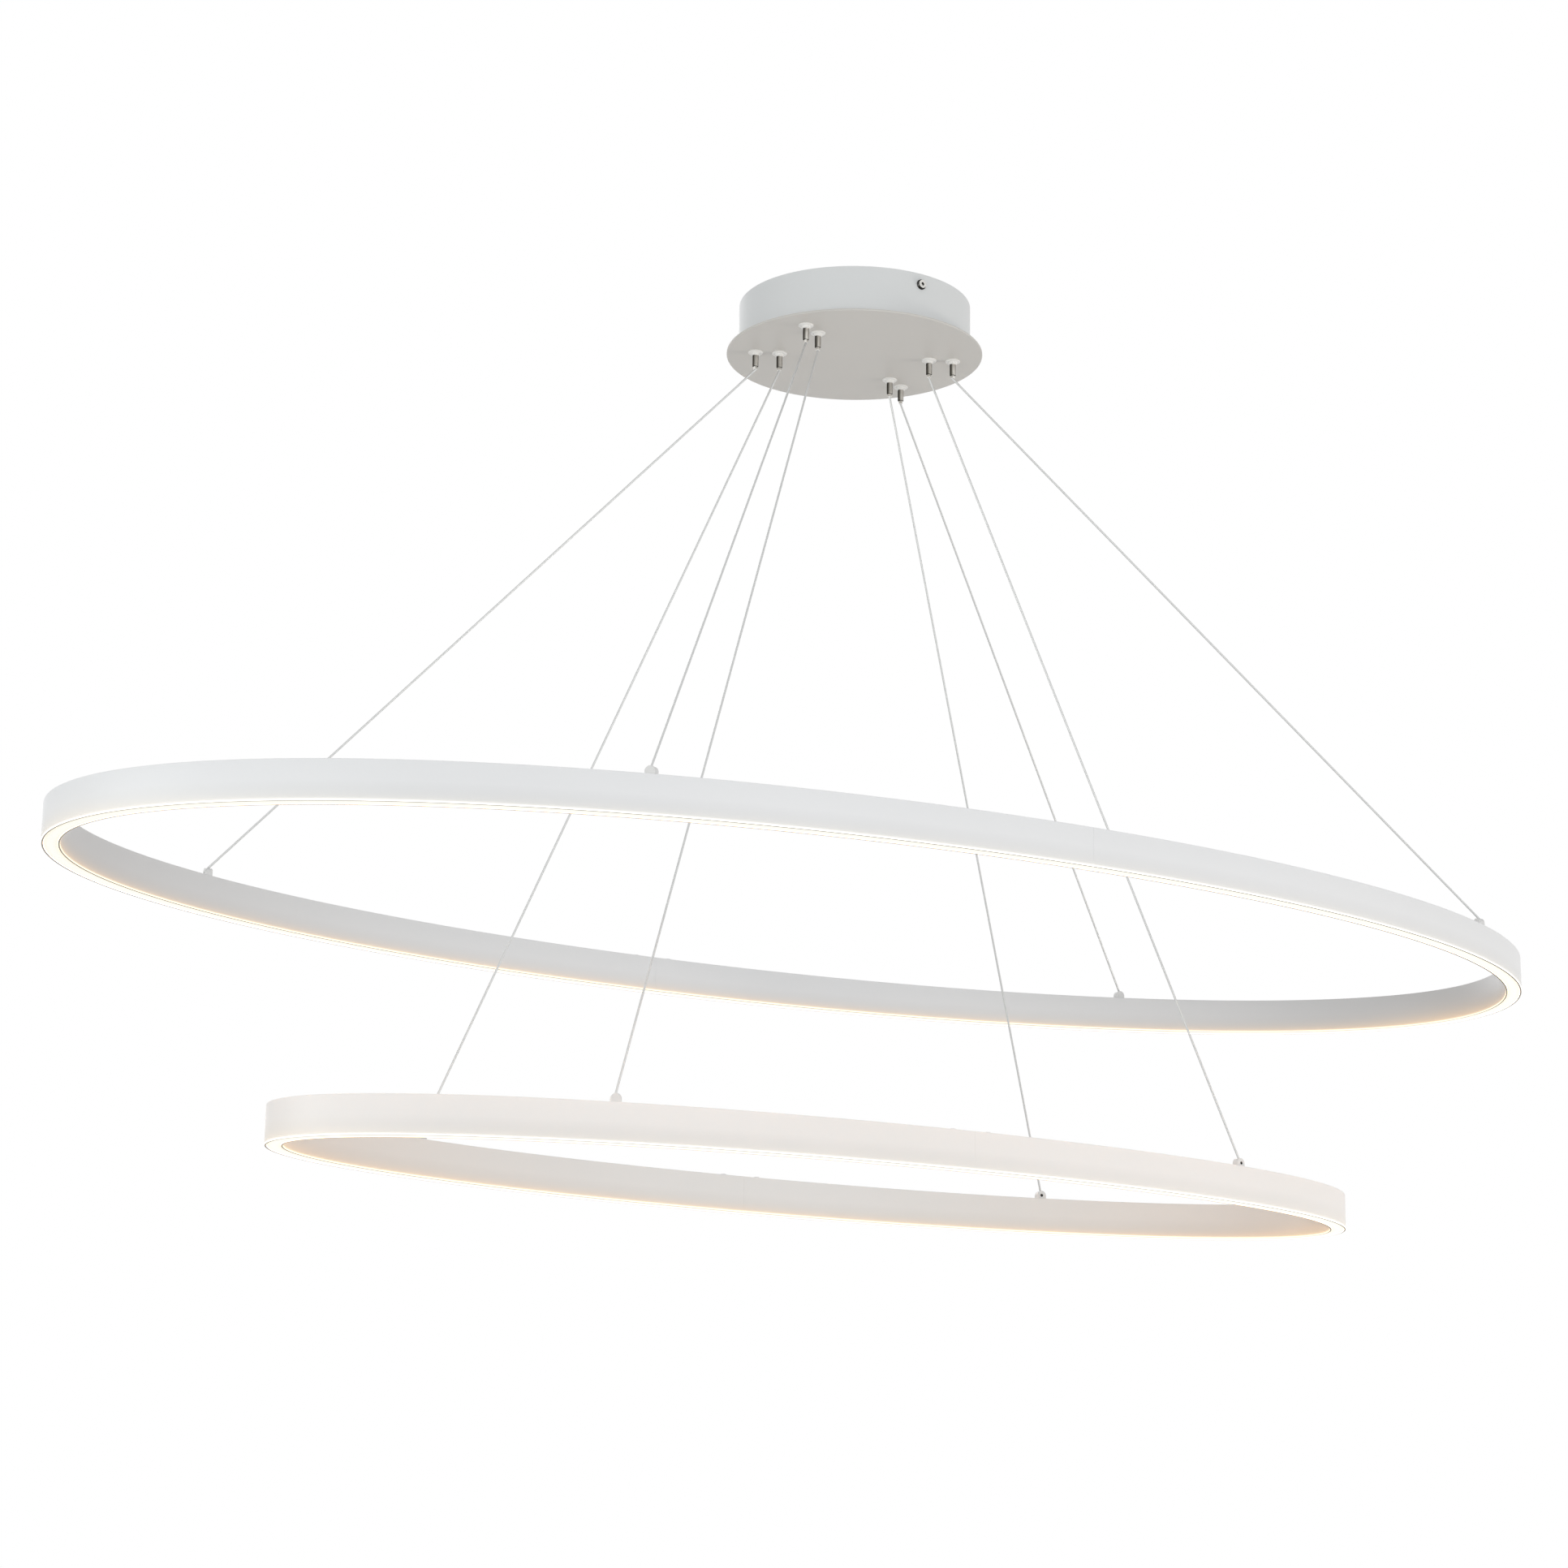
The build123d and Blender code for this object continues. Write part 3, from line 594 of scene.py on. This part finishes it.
def laid_steel():
    """Laid strands under a clear sheath: ridges that wind round the cable, with painted shade between them.
    """
    material, tree, shader = new_material("laid steel under clear sheath", cable_roughness, cable_metallic)
    shader.inputs["Coat Weight"].default_value = sheath_weight
    shader.inputs["Coat Roughness"].default_value = sheath_roughness
    turns = calculate(tree, "MULTIPLY", attribute_value(tree, "along"), 1 / strand_lay)
    wound = calculate(tree, "ADD", turns, attribute_value(tree, "round"))
    phase = calculate(tree, "MULTIPLY", wound, strands * math.pi)
    ridge = calculate(tree, "ABSOLUTE", calculate(tree, "SINE", phase))
    dark = tuple(groove_painted_shade * part for part in cable_steel_colour[:3]) + (1,)
    out_of_groove = calculate(tree, "POWER", ridge, groove_width)
    tint = mix_colour(tree, out_of_groove, dark, cable_steel_colour)
    tree.links.new(tint, shader.inputs["Base Color"])
    add_bump(tree, shader, ridge, strand_relief)
    return material


cable_finish = laid_steel()
cable_shape = cable_tree()


def cable_ends(ring, number):
    """The middles of a cable's upper and lower ends, read from its gripper and its own solid."""
    gripper_low, gripper_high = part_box(f"{ring}_gripper_{number}")
    low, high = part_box(f"{ring}_cable_{number}")
    top = Vector(((gripper_low.x + gripper_high.x) / 2, (gripper_low.y + gripper_high.y) / 2, high.z))
    near_x, away_x = sorted((high.x, low.x), key=abs)
    near_y, away_y = sorted((high.y, low.y), key=abs)
    half = Vector((top.x - near_x, top.y - near_y, 0))
    return top, Vector((away_x - half.x, away_y - half.y, low.z))


for joint in frame["joints"]:
    for deforming in joint.get("deforming_nodes", []):
        low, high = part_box(deforming["node"])

for ring in ("upper", "lower"):
    for number in range(1, 5):
        node = f"{ring}_cable_{number}"
        top, foot = cable_ends(ring, number)
        run = (foot - top).normalized()
        start, end = top - run * cable_seat, foot + run * cable_seat
        cable = grow(
            f"{ring}_steel_cable_{number}",
            cable_shape,
            {"Start": start, "End": end, "Material": cable_finish},
        )
        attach(cable, "canopy")
        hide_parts(node)
        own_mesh(cable)

paint(cable_finish, "cable_tails")

# ---- Ring frames --------------------------------------------------------------------------------
# Each ring is two halves of a white powder-coated aluminium profile, bent to an oval and butted at the
# middle of its long sides. The warm light of the diffuser set in between its rims is painted on the
# coat near them, as a tint and an emitted glow.

band_width = 0.015
band_wall = 0.0018
top_web = 0.002
shelf_height = 0.012
shelf_web = 0.0014
ledge_reach = 0.001
ledge_under = 0.0023
ledge_height = 0.001
outer_round = 0.0006
rim_round = 0.0004
inner_round = 0.0003
joint_gap = 0.00005  # at each half's end
half_stations = 180
arc_steps = 3
smooth_limit = 40.0
weld_distance = 1e-6

# Light, shade, and the inner wall near the oval's ends, in painted shade on the upper ring and in a
# warmer painted shade with painted light on the lower. Both rings share one white coat: the lower ring's
# warmer, lighter tones are painted light from the upper ring's diffuser.
ring_tones = {
    "upper": ((0.89, 0.895, 0.895, 1), (0.84, 0.845, 0.85, 1), (0.66, 0.65, 0.64, 1)),
    "lower": ((0.93, 0.92, 0.90, 1), (0.89, 0.88, 0.855, 1), (0.87, 0.78, 0.70, 1)),
}
ring_gloss = (0.36, 0.48)
ring_roughness = 0.45  # the shader's own, under the linked one
shade_fade, rim_fade, end_fade = 2.0, 8.0, 16.0  # powers: the higher, the closer to the ends
# Painted shade under the rims, turning to a warmer painted light near the oval's ends.
rim_under_painted_shade = (0.18, 0.175, 0.165, 1)
rim_end_painted_light = (0.60, 0.56, 0.49, 1)
rim_under_rough = 0.95
# Painted light: the diffuser's warm light on the coat, as a tint in its colour and an emitted glow.
spill_colour = (1.0, 0.80, 0.58, 1)
inner_glow = (1.0, 0.58, 0.26, 1)
outer_glow = (1.0, 0.94, 0.82, 1)
spill_reach = 0.0034  # height at which the light has faded to about a third
end_reach = 0.0070  # the same inside the oval's tight ends, which face two lit rims
outer_spill = 0.45
inner_spill = 0.75
end_spill = 0.9
corner_reach = 0.0005  # the lit corner of each rim
outer_corner_glow = (1.0, 0.97, 0.90, 1)
inner_corner_glow = (1.0, 0.86, 0.58, 1)
end_glow = (1.0, 0.74, 0.44, 1)
spill_share = 0.117  # of the corner's glow
glow_strength = 3.6
no_glow = (0, 0, 0, 1)


def rounded_outline(corners):
    """A closed outline from square corners (inset, height, radius), each turned by an arc."""
    points = []
    for index, (inset, height, radius) in enumerate(corners):
        corner = Vector((inset, height))
        if not radius:
            points.append(corner)
            continue
        back = (Vector(corners[index - 1][:2]) - corner).normalized()
        onward = (Vector(corners[(index + 1) % len(corners)][:2]) - corner).normalized()
        centre = corner + (back + onward) * radius
        for step in range(arc_steps + 1):
            angle = math.pi / 2 * step / arc_steps
            points.append(centre - (onward * math.cos(angle) + back * math.sin(angle)) * radius)
    return points


def straight_run(name, outlines, first, last, stations, capped=True):
    """A profile still straight: X is the angle along the oval, Y the inset and Z the height."""
    shape = bmesh.new()
    for outline in outlines:
        rows = []
        for station in range(stations + 1):
            angle = first + (last - first) * station / stations
            rows.append([shape.verts.new((angle, inset, height)) for inset, height in outline])
        for row, after in zip(rows, rows[1:]):
            for index in range(len(outline)):
                shape.faces.new((row[index - 1], row[index], after[index], after[index - 1]))
    if capped:
        rim = [edge for edge in shape.edges if edge.is_boundary]
        for angle in (first, last):
            end = [edge for edge in rim if abs(edge.verts[0].co.x - angle) < weld_distance]
            bmesh.ops.triangle_fill(shape, edges=end, use_beauty=True, normal=(1, 0, 0))
    mesh = bpy.data.meshes.new(name)
    shape.to_mesh(mesh)
    shape.free()
    return mesh


def oval_place(tree, given, angle, inset, height):
    """The point on the oval at an angle, moved in square to its edge by the inset."""
    long_half = calculate(tree, "MULTIPLY", given.outputs["Length"], 0.5)
    short_half = calculate(tree, "MULTIPLY", given.outputs["Width"], 0.5)
    cosine, sine = calculate(tree, "COSINE", angle), calculate(tree, "SINE", angle)
    long_part = calculate(tree, "MULTIPLY", long_half, sine)
    short_part = calculate(tree, "MULTIPLY", short_half, cosine)
    long_square = calculate(tree, "MULTIPLY", long_part, long_part)
    short_square = calculate(tree, "MULTIPLY", short_part, short_part)
    reach = calculate(tree, "SQRT", calculate(tree, "ADD", long_square, short_square))
    share = calculate(tree, "DIVIDE", inset, reach)
    across = calculate(tree, "MULTIPLY", long_half, cosine)
    across_in = calculate(tree, "MULTIPLY", share, short_part)
    deep = calculate(tree, "MULTIPLY", short_half, sine)
    deep_in = calculate(tree, "MULTIPLY", share, long_part)
    point = tree.nodes.new("ShaderNodeCombineXYZ")
    link_value(tree, calculate(tree, "SUBTRACT", across, across_in), point.inputs[0])
    link_value(tree, calculate(tree, "SUBTRACT", deep, deep_in), point.inputs[1])
    link_value(tree, calculate(tree, "ADD", height, given.outputs["Underside"]), point.inputs[2])
    return point.outputs[0]


oval_inputs = [
    ("Length", FLOAT, 1.0),
    ("Width", FLOAT, 0.5),
    ("Underside", FLOAT, 0.0),
    ("Material", "NodeSocketMaterial", None),
]


def oval_bend_tree():
    """Bends a straight run round the oval. Each point keeps its inset, height and nearness to an end."""
    tree, given, out = new_geometry_tree("oval bend", oval_inputs)
    split = tree.nodes.new("ShaderNodeSeparateXYZ")
    tree.links.new(tree.nodes.new("GeometryNodeInputPosition").outputs[0], split.inputs[0])
    angle, inset, height = split.outputs
    end_share = calculate(tree, "ABSOLUTE", calculate(tree, "COSINE", angle))
    geometry = given.outputs["Geometry"]
    for name, value in (("inset", inset), ("height", height), ("end_share", end_share)):
        geometry = keep_value(tree, geometry, name, value)
    bend = tree.nodes.new("GeometryNodeSetPosition")
    tree.links.new(geometry, bend.inputs["Geometry"])
    tree.links.new(oval_place(tree, given, angle, inset, height), bend.inputs["Position"])
    weld = tree.nodes.new("GeometryNodeMergeByDistance")
    weld.inputs["Distance"].default_value = weld_distance
    tree.links.new(bend.outputs["Geometry"], weld.inputs["Geometry"])
    close_geometry_tree(tree, weld.outputs["Geometry"], given.outputs["Material"], out)
    return tree


def face_outwards(piece):
    """Turns a closed mesh's faces outwards, smooth between its crisp edges."""
    shape = bmesh.new()
    shape.from_mesh(piece.data)
    bmesh.ops.recalc_face_normals(shape, faces=shape.faces)
    shape.to_mesh(piece.data)
    shape.free()
    piece.data.shade_smooth()
    piece.data.set_sharp_from_angle(angle=math.radians(smooth_limit))


def ring_coat_material(name, light, shade, painted_inner_end):
    """Powder coat with painted light: it warms towards the rims with a painted tint and glow of the
    diffuser's light, most of all inside the oval's tight ends. The inner wall near the ends and the rims'
    undersides carry painted shade.
    """
    material, tree, shader = new_material(name, ring_roughness)
    node = place_effect(tree, fine_grain, (light, shade), coat_grain, ring_gloss)
    end_share = attribute_value(tree, "end_share")
    near_end = calculate(tree, "POWER", end_share, end_fade)
    inward = clamped(tree, calculate(tree, "MULTIPLY", attribute_value(tree, "inset"), 1 / band_width))
    split = tree.nodes.new("ShaderNodeSeparateXYZ")
    tree.links.new(tree.nodes.new("ShaderNodeNewGeometry").outputs["Normal"], split.inputs[0])
    upright = clamped(tree, calculate(tree, "ADD", 1.0, split.outputs[2]))

    # Painted light: how far up the walls the diffuser's light is painted, and how strongly.
    further = calculate(tree, "MULTIPLY", near_end, end_reach - spill_reach)
    reach = calculate(tree, "ADD", spill_reach, further)
    height = calculate(tree, "MULTIPLY", attribute_value(tree, "height"), -1.0)
    fade = calculate(tree, "EXPONENT", calculate(tree, "DIVIDE", height, reach))
    stronger = calculate(tree, "MULTIPLY", near_end, end_spill - inner_spill)
    most = calculate(tree, "ADD", inner_spill, stronger)
    extra = calculate(tree, "MULTIPLY", inward, calculate(tree, "SUBTRACT", most, outer_spill))
    strength = calculate(tree, "ADD", outer_spill, extra)
    reached = calculate(tree, "MULTIPLY", fade, upright)
    spill = clamped(tree, calculate(tree, "MULTIPLY", reached, strength))

    # Painted shade on the inner wall near the ends, warmed by painted light on the lower ring.
    painted_end_share = calculate(tree, "MULTIPLY", inward, calculate(tree, "POWER", end_share, shade_fade))
    plain_coat = mix_colour(tree, painted_end_share, node.outputs["Colour"], painted_inner_end)
    lit_tint = mix_colour(tree, inward, outer_glow, spill_colour)
    coat = mix_colour(tree, spill, plain_coat, lit_tint)
    # Painted shade on the rims' undersides.
    rim_end = calculate(tree, "POWER", end_share, rim_fade)
    painted_rim_shade = mix_colour(tree, rim_end, rim_under_painted_shade, rim_end_painted_light)
    tree.links.new(mix_colour(tree, upright, painted_rim_shade, coat), shader.inputs["Base Color"])
    under_rough = (rim_under_rough, rim_under_rough, rim_under_rough, 1)
    rough = mix_colour(tree, upright, under_rough, node.outputs["Roughness"])
    tree.links.new(rough, shader.inputs["Roughness"])

    # A painted glow: the coat emits light, though it is no lamp.
    outside = mix_colour(tree, near_end, outer_glow, end_glow)
    washed = mix_colour(tree, inward, outside, inner_glow)
    wash_share = calculate(tree, "MULTIPLY", spill, spill_share)
    wash = mix_colour(tree, wash_share, no_glow, washed)
    corner = calculate(tree, "EXPONENT", calculate(tree, "MULTIPLY", height, 1 / corner_reach))
    corner_tint = mix_colour(tree, inward, outer_corner_glow, inner_corner_glow)
    glow = mix_colour(tree, calculate(tree, "MULTIPLY", corner, upright), wash, corner_tint)
    tree.links.new(glow, shader.inputs["Emission Color"])
    shader.inputs["Emission Strength"].default_value = glow_strength
    add_bump(tree, shader, node.outputs["Height"], coat_depth)
    return material


ring_sizes = {}
for ring in ("upper", "lower"):
    low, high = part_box(f"{ring}_frame_right")
    ring_sizes[ring] = {"Length": 2 * high.x, "Width": high.y - low.y, "Underside": low.z}
    band_height = high.z - low.z

oval_bend = oval_bend_tree()
ring_coats = {
    ring: ring_coat_material(f"{ring} ring powder coat", *tones) for ring, tones in ring_tones.items()
}
far_wall = band_width - band_wall
ledge_top = ledge_under + ledge_height
frame_outline = rounded_outline(
    [
        (0, 0, rim_round),
        (0, band_height, outer_round),
        (band_width, band_height, outer_round),
        (band_width, 0, rim_round),
        (far_wall, 0, inner_round),
        (far_wall, ledge_under, 0),
        (far_wall - ledge_reach, ledge_under, inner_round),
        (far_wall - ledge_reach, ledge_top, inner_round),
        (far_wall, ledge_top, 0),
        (far_wall, shelf_height, rim_round),
        (band_wall, shelf_height, rim_round),
        (band_wall, ledge_top, 0),
        (band_wall + ledge_reach, ledge_top, inner_round),
        (band_wall + ledge_reach, ledge_under, inner_round),
        (band_wall, ledge_under, 0),
        (band_wall, 0, inner_round),
    ]
)
duct_floor, duct_roof = shelf_height + shelf_web, band_height - top_web
duct_outline = rounded_outline(
    [
        (band_wall, duct_floor, rim_round),
        (band_wall, duct_roof, rim_round),
        (far_wall, duct_roof, rim_round),
        (far_wall, duct_floor, rim_round),
    ]
)
for ring, sizes in ring_sizes.items():
    gap = 2 * joint_gap / sizes["Length"]
    for side, first in (("right", -math.pi / 2), ("left", math.pi / 2)):
        last = first + math.pi
        outlines = [frame_outline, duct_outline]
        run = straight_run("straight profile", outlines, first + gap, last - gap, half_stations)
        values = {**sizes, "Material": ring_coats[ring]}
        half = grow(f"{ring}_bent_profile_{side}", oval_bend, values, run)
        face_outwards(half)
        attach(half, f"{ring}_ring")
        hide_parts(f"{ring}_frame_{side}")

# ---- Diffusers ----------------------------------------------------------------------------------
# A strip of opal acrylic snapped up between the rims against the ledges. The LEDs behind it make it
# the lamp: evenly bright, whitest along its middle and creamier at both edges.

diffuser_thickness = 0.002
diffuser_recess = 0.0003
diffuser_play = 0.0001
diffuser_round = 0.00035
closed_stations = 360
opal_white = (0.44, 0.435, 0.42, 1)
opal_milk = (0.38, 0.375, 0.36, 1)
opal_middle = (1.0, 1.0, 0.93, 1)
opal_edge = (1.0, 0.92, 0.68, 1)
opal_roughness = 0.45
opal_gloss = 0.1
opal_cast = (1.0, 0.62, 0.42, 1)
opal_seen = 0.70
opal_light = 8.4
opal_edge_fade = 2.5  # a power: the higher, the narrower the creamy edges
opal_cloud, opal_cloud_share = 45.0, 0.10  # clouds to the metre, and what they add
opal_milk_grain, opal_fine_grain = 300.0, 900.0  # grains to the metre
opal_depth = 0.00001


def off_band_middle(tree):
    """How far a point lies from the band's middle line."""
    inset = attribute_value(tree, "inset")
    return calculate(tree, "ABSOLUTE", calculate(tree, "SUBTRACT", inset, band_width / 2))


def opal_material():
    """Opal acrylic lit from behind. What it casts on the rest is stronger than what is seen."""
    material, tree, shader = new_material("lit opal acrylic", opal_roughness)
    shader.inputs["Specular IOR Level"].default_value = opal_gloss
    place = tree.nodes.new("ShaderNodeTexCoord").outputs["Object"]
    off_middle = calculate(tree, "DIVIDE", off_band_middle(tree), band_width / 2 - band_wall)
    edge = clamped(tree, calculate(tree, "POWER", off_middle, opal_edge_fade))
    faint = calculate(tree, "MULTIPLY", noise_at(tree, place, opal_cloud), opal_cloud_share)
    colour = mix_colour(tree, clamped(tree, calculate(tree, "ADD", edge, faint)), opal_middle, opal_edge)
    seen = seen_directly(tree)
    tree.links.new(mix_colour(tree, seen, opal_cast, colour), shader.inputs["Emission Color"])
    dimmed = calculate(tree, "MULTIPLY", seen, opal_seen - opal_light)
    strength = calculate(tree, "ADD", opal_light, dimmed)
    tree.links.new(strength, shader.inputs["Emission Strength"])
    milky = mix_colour(tree, noise_at(tree, place, opal_milk_grain), opal_white, opal_milk)
    tree.links.new(milky, shader.inputs["Base Color"])
    add_bump(tree, shader, noise_at(tree, place, opal_fine_grain), opal_depth)
    return material


opal = opal_material()
edge = band_wall + diffuser_play
diffuser_top = diffuser_recess + diffuser_thickness
diffuser_outline = rounded_outline(
    [
        (edge, diffuser_recess, diffuser_round),
        (edge, diffuser_top, diffuser_round),
        (band_width - edge, diffuser_top, diffuser_round),
        (band_width - edge, diffuser_recess, diffuser_round),
    ]
)
for ring, sizes in ring_sizes.items():
    run = straight_run("straight strip", [diffuser_outline], 0, math.tau, closed_stations, capped=False)
    diffuser = grow(f"{ring}_opal_diffuser", oval_bend, {**sizes, "Material": opal}, run)
    face_outwards(diffuser)
    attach(diffuser, f"{ring}_ring")
    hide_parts(f"{ring}_diffuser")

# ---- LED strips ---------------------------------------------------------------------------------
# A white flexible circuit board stuck under the profile's shelf, with a copper track along each edge
# and a row of small packages, each a white frame round a disc of yellow phosphor.

board_width = 0.008
board_thickness = 0.0004
chip_length = 0.0035
chip_width = 0.0028
chip_height = 0.0007
chip_spacing = 0.00833
phosphor_radius = 0.0011
phosphor_depth = 0.00012
phosphor_sides = 10
track_width = 0.0007
track_middle = 1.5 * track_width  # from the board's edge
mask_tones = ((0.84, 0.83, 0.79, 1), (0.76, 0.75, 0.70, 1))
track_colour = (0.62, 0.40, 0.22, 1)
phosphor_colour = (0.86, 0.68, 0.10, 1)
package_tones = ((0.85, 0.84, 0.80, 1), (0.78, 0.77, 0.72, 1))
led_gloss = (0.36, 0.50)
led_depth = 0.00002


def tinted(name, mask, tint, tones, grain):
    """A moulded or printed surface, with another colour where a mask says so."""
    material = coated(name, tones, grain, led_gloss, led_depth)
    tree = material.node_tree
    base = tree.nodes["Principled BSDF"].inputs["Base Color"]
    plain = base.links[0].from_socket
    tree.links.new(mix_colour(tree, mask(tree), plain, tint), base)
    return material


def track_mask(tree):
    """1 on the two tracks near the board's edges."""
    from_edge = calculate(tree, "SUBTRACT", board_width / 2, off_band_middle(tree))
    return calculate(tree, "COMPARE", from_edge, track_middle, track_width / 2)


def phosphor_mask(tree):
    """1 on the discs of phosphor."""
    return attribute_value(tree, "phosphor")


def one_chip():
    """A LED package seen from below: a low frame with a sunk disc of phosphor."""
    shape = bmesh.new()
    bmesh.ops.create_cube(shape, size=1.0)
    bmesh.ops.scale(shape, vec=(chip_length, chip_width, chip_height), verts=shape.verts)
    bmesh.ops.translate(shape, vec=(0, 0, -chip_height / 2), verts=shape.verts)
    bottom = min(shape.faces, key=lambda face: face.calc_center_median().z)
    rim = list(bottom.edges)
    shape.faces.remove(bottom)
    turns = [math.tau * step / phosphor_sides for step in range(phosphor_sides)]
    disc = [(phosphor_radius * math.cos(turn), phosphor_radius * math.sin(turn)) for turn in turns]
    lip = [shape.verts.new((x, y, -chip_height)) for x, y in disc]
    sunk = [shape.verts.new((x, y, phosphor_depth - chip_height)) for x, y in disc]
    lip_edges = [shape.edges.new((lip[index - 1], lip[index])) for index in range(phosphor_sides)]
    bmesh.ops.triangle_fill(shape, edges=rim + lip_edges, use_beauty=True, normal=(0, 0, -1))
    for index in range(phosphor_sides):
        shape.faces.new((lip[index - 1], lip[index], sunk[index], sunk[index - 1]))
    floor_face = shape.faces.new(sunk)
    bmesh.ops.recalc_face_normals(shape, faces=shape.faces)
    mesh = bpy.data.meshes.new("chip")
    shape.faces.index_update()
    phosphor_index = floor_face.index
    shape.to_mesh(mesh)
    shape.free()
    marks = mesh.attributes.new("phosphor", "FLOAT", "FACE")
    marks.data[phosphor_index].value = 1
    return mesh


def chip_row_tree():
    """Copies of one package at even steps along the oval, each turned along it."""
    extra = [("Inset", FLOAT, band_width / 2), ("Level", FLOAT, 0.0), ("Spacing", FLOAT, chip_spacing)]
    tree, given, out = new_geometry_tree("chip row", oval_inputs + extra)
    circle = tree.nodes.new("GeometryNodeCurvePrimitiveCircle")
    circle.inputs["Resolution"].default_value = 2 * closed_stations
    factor = tree.nodes.new("GeometryNodeSplineParameter").outputs["Factor"]
    angle = calculate(tree, "MULTIPLY", factor, math.tau)
    oval = tree.nodes.new("GeometryNodeSetPosition")
    tree.links.new(circle.outputs["Curve"], oval.inputs["Geometry"])
    place = oval_place(tree, given, angle, given.outputs["Inset"], given.outputs["Level"])
    tree.links.new(place, oval.inputs["Position"])
    steps = tree.nodes.new("GeometryNodeCurveToPoints")
    steps.mode = "LENGTH"
    tree.links.new(given.outputs["Spacing"], steps.inputs["Length"])
    tree.links.new(oval.outputs["Geometry"], steps.inputs["Curve"])
    split = tree.nodes.new("ShaderNodeSeparateXYZ")
    tree.links.new(steps.outputs["Tangent"], split.inputs[0])
    heading = tree.nodes.new("ShaderNodeCombineXYZ")
    tree.links.new(calculate(tree, "ARCTAN2", split.outputs[1], split.outputs[0]), heading.inputs[2])
    row = tree.nodes.new("GeometryNodeInstanceOnPoints")
    tree.links.new(steps.outputs["Points"], row.inputs["Points"])
    tree.links.new(given.outputs["Geometry"], row.inputs["Instance"])
    tree.links.new(heading.outputs[0], row.inputs["Rotation"])
    close_geometry_tree(tree, row.outputs["Instances"], given.outputs["Material"], out)
    return tree


board_finish = tinted("printed board", track_mask, track_colour, mask_tones, grain=1600.0)
chip_finish = tinted("LED packages", phosphor_mask, phosphor_colour, package_tones, grain=2400.0)
chip_row = chip_row_tree()
board_edge = (band_width - board_width) / 2
board_under = shelf_height - board_thickness
board_outline = rounded_outline(
    [
        (board_edge, board_under, 0),
        (board_edge, shelf_height, 0),
        (band_width - board_edge, shelf_height, 0),
        (band_width - board_edge, board_under, 0),
    ]
)
for ring, sizes in ring_sizes.items():
    run = straight_run("straight board", [board_outline], 0, math.tau, closed_stations, capped=False)
    board = grow(f"{ring}_led_board", oval_bend, {**sizes, "Material": board_finish}, run)
    face_outwards(board)
    values = {**sizes, "Level": board_under, "Material": chip_finish}
    chips = grow(f"{ring}_led_chips", chip_row, values, one_chip())
    for piece in (board, chips):
        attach(piece, f"{ring}_ring")
    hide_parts(f"{ring}_led_strip")

# ---- Splices and their screws -------------------------------------------------------------------
# A bare drawn aluminium bar in the duct ties the two halves at each joint. Two socket screws from
# above hold it, with low heads painted like the profile.

bar_tones = ((0.74, 0.75, 0.76, 1), (0.56, 0.57, 0.58, 1))
head_tones = ring_tones["upper"][:2]
bare_bar = bare_metal("drawn aluminium", bar_tones, grain=1800.0, gloss=(0.30, 0.44))
screw_coat = coated("painted screw heads", head_tones, grain=1800.0, gloss=(0.30, 0.44), depth=0.00002)
paint(bare_bar, "upper_splices", "lower_splices")
paint(screw_coat, "upper_splice_screws", "lower_splice_screws")

# ---- Cable anchors ------------------------------------------------------------------------------
# Small arched die-cast blocks, coated like the ring, which a nut in the duct holds down. The cable
# goes in at the crest, and a black grub screw in one arched face clamps it.

anchor_tones = ((0.84, 0.835, 0.82, 1), (0.75, 0.745, 0.73, 1))
black_tones = ((0.075, 0.073, 0.07, 1), (0.02, 0.02, 0.02, 1))
anchor_coat = coated("anchor coat", anchor_tones, grain=1300.0, gloss=(0.34, 0.46), depth=0.00003)
black_oxide = bare_metal("black oxide", black_tones, grain=4200.0, gloss=(0.34, 0.48))
for ring in ("upper", "lower"):
    paint(anchor_coat, f"{ring}_anchors")
    paint(black_oxide, f"{ring}_grub_screws")
    paint(zinc, f"{ring}_anchor_nuts")

# ---- Sizes and finish ---------------------------------------------------------------------------
# The boxes of the solids and of the dressed part, kept side by side, so that a difference between them
# can be read.

model_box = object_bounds()
sizes = {"cad": [list(corner) for corner in cad_box], "visual": [list(corner) for corner in model_box]}
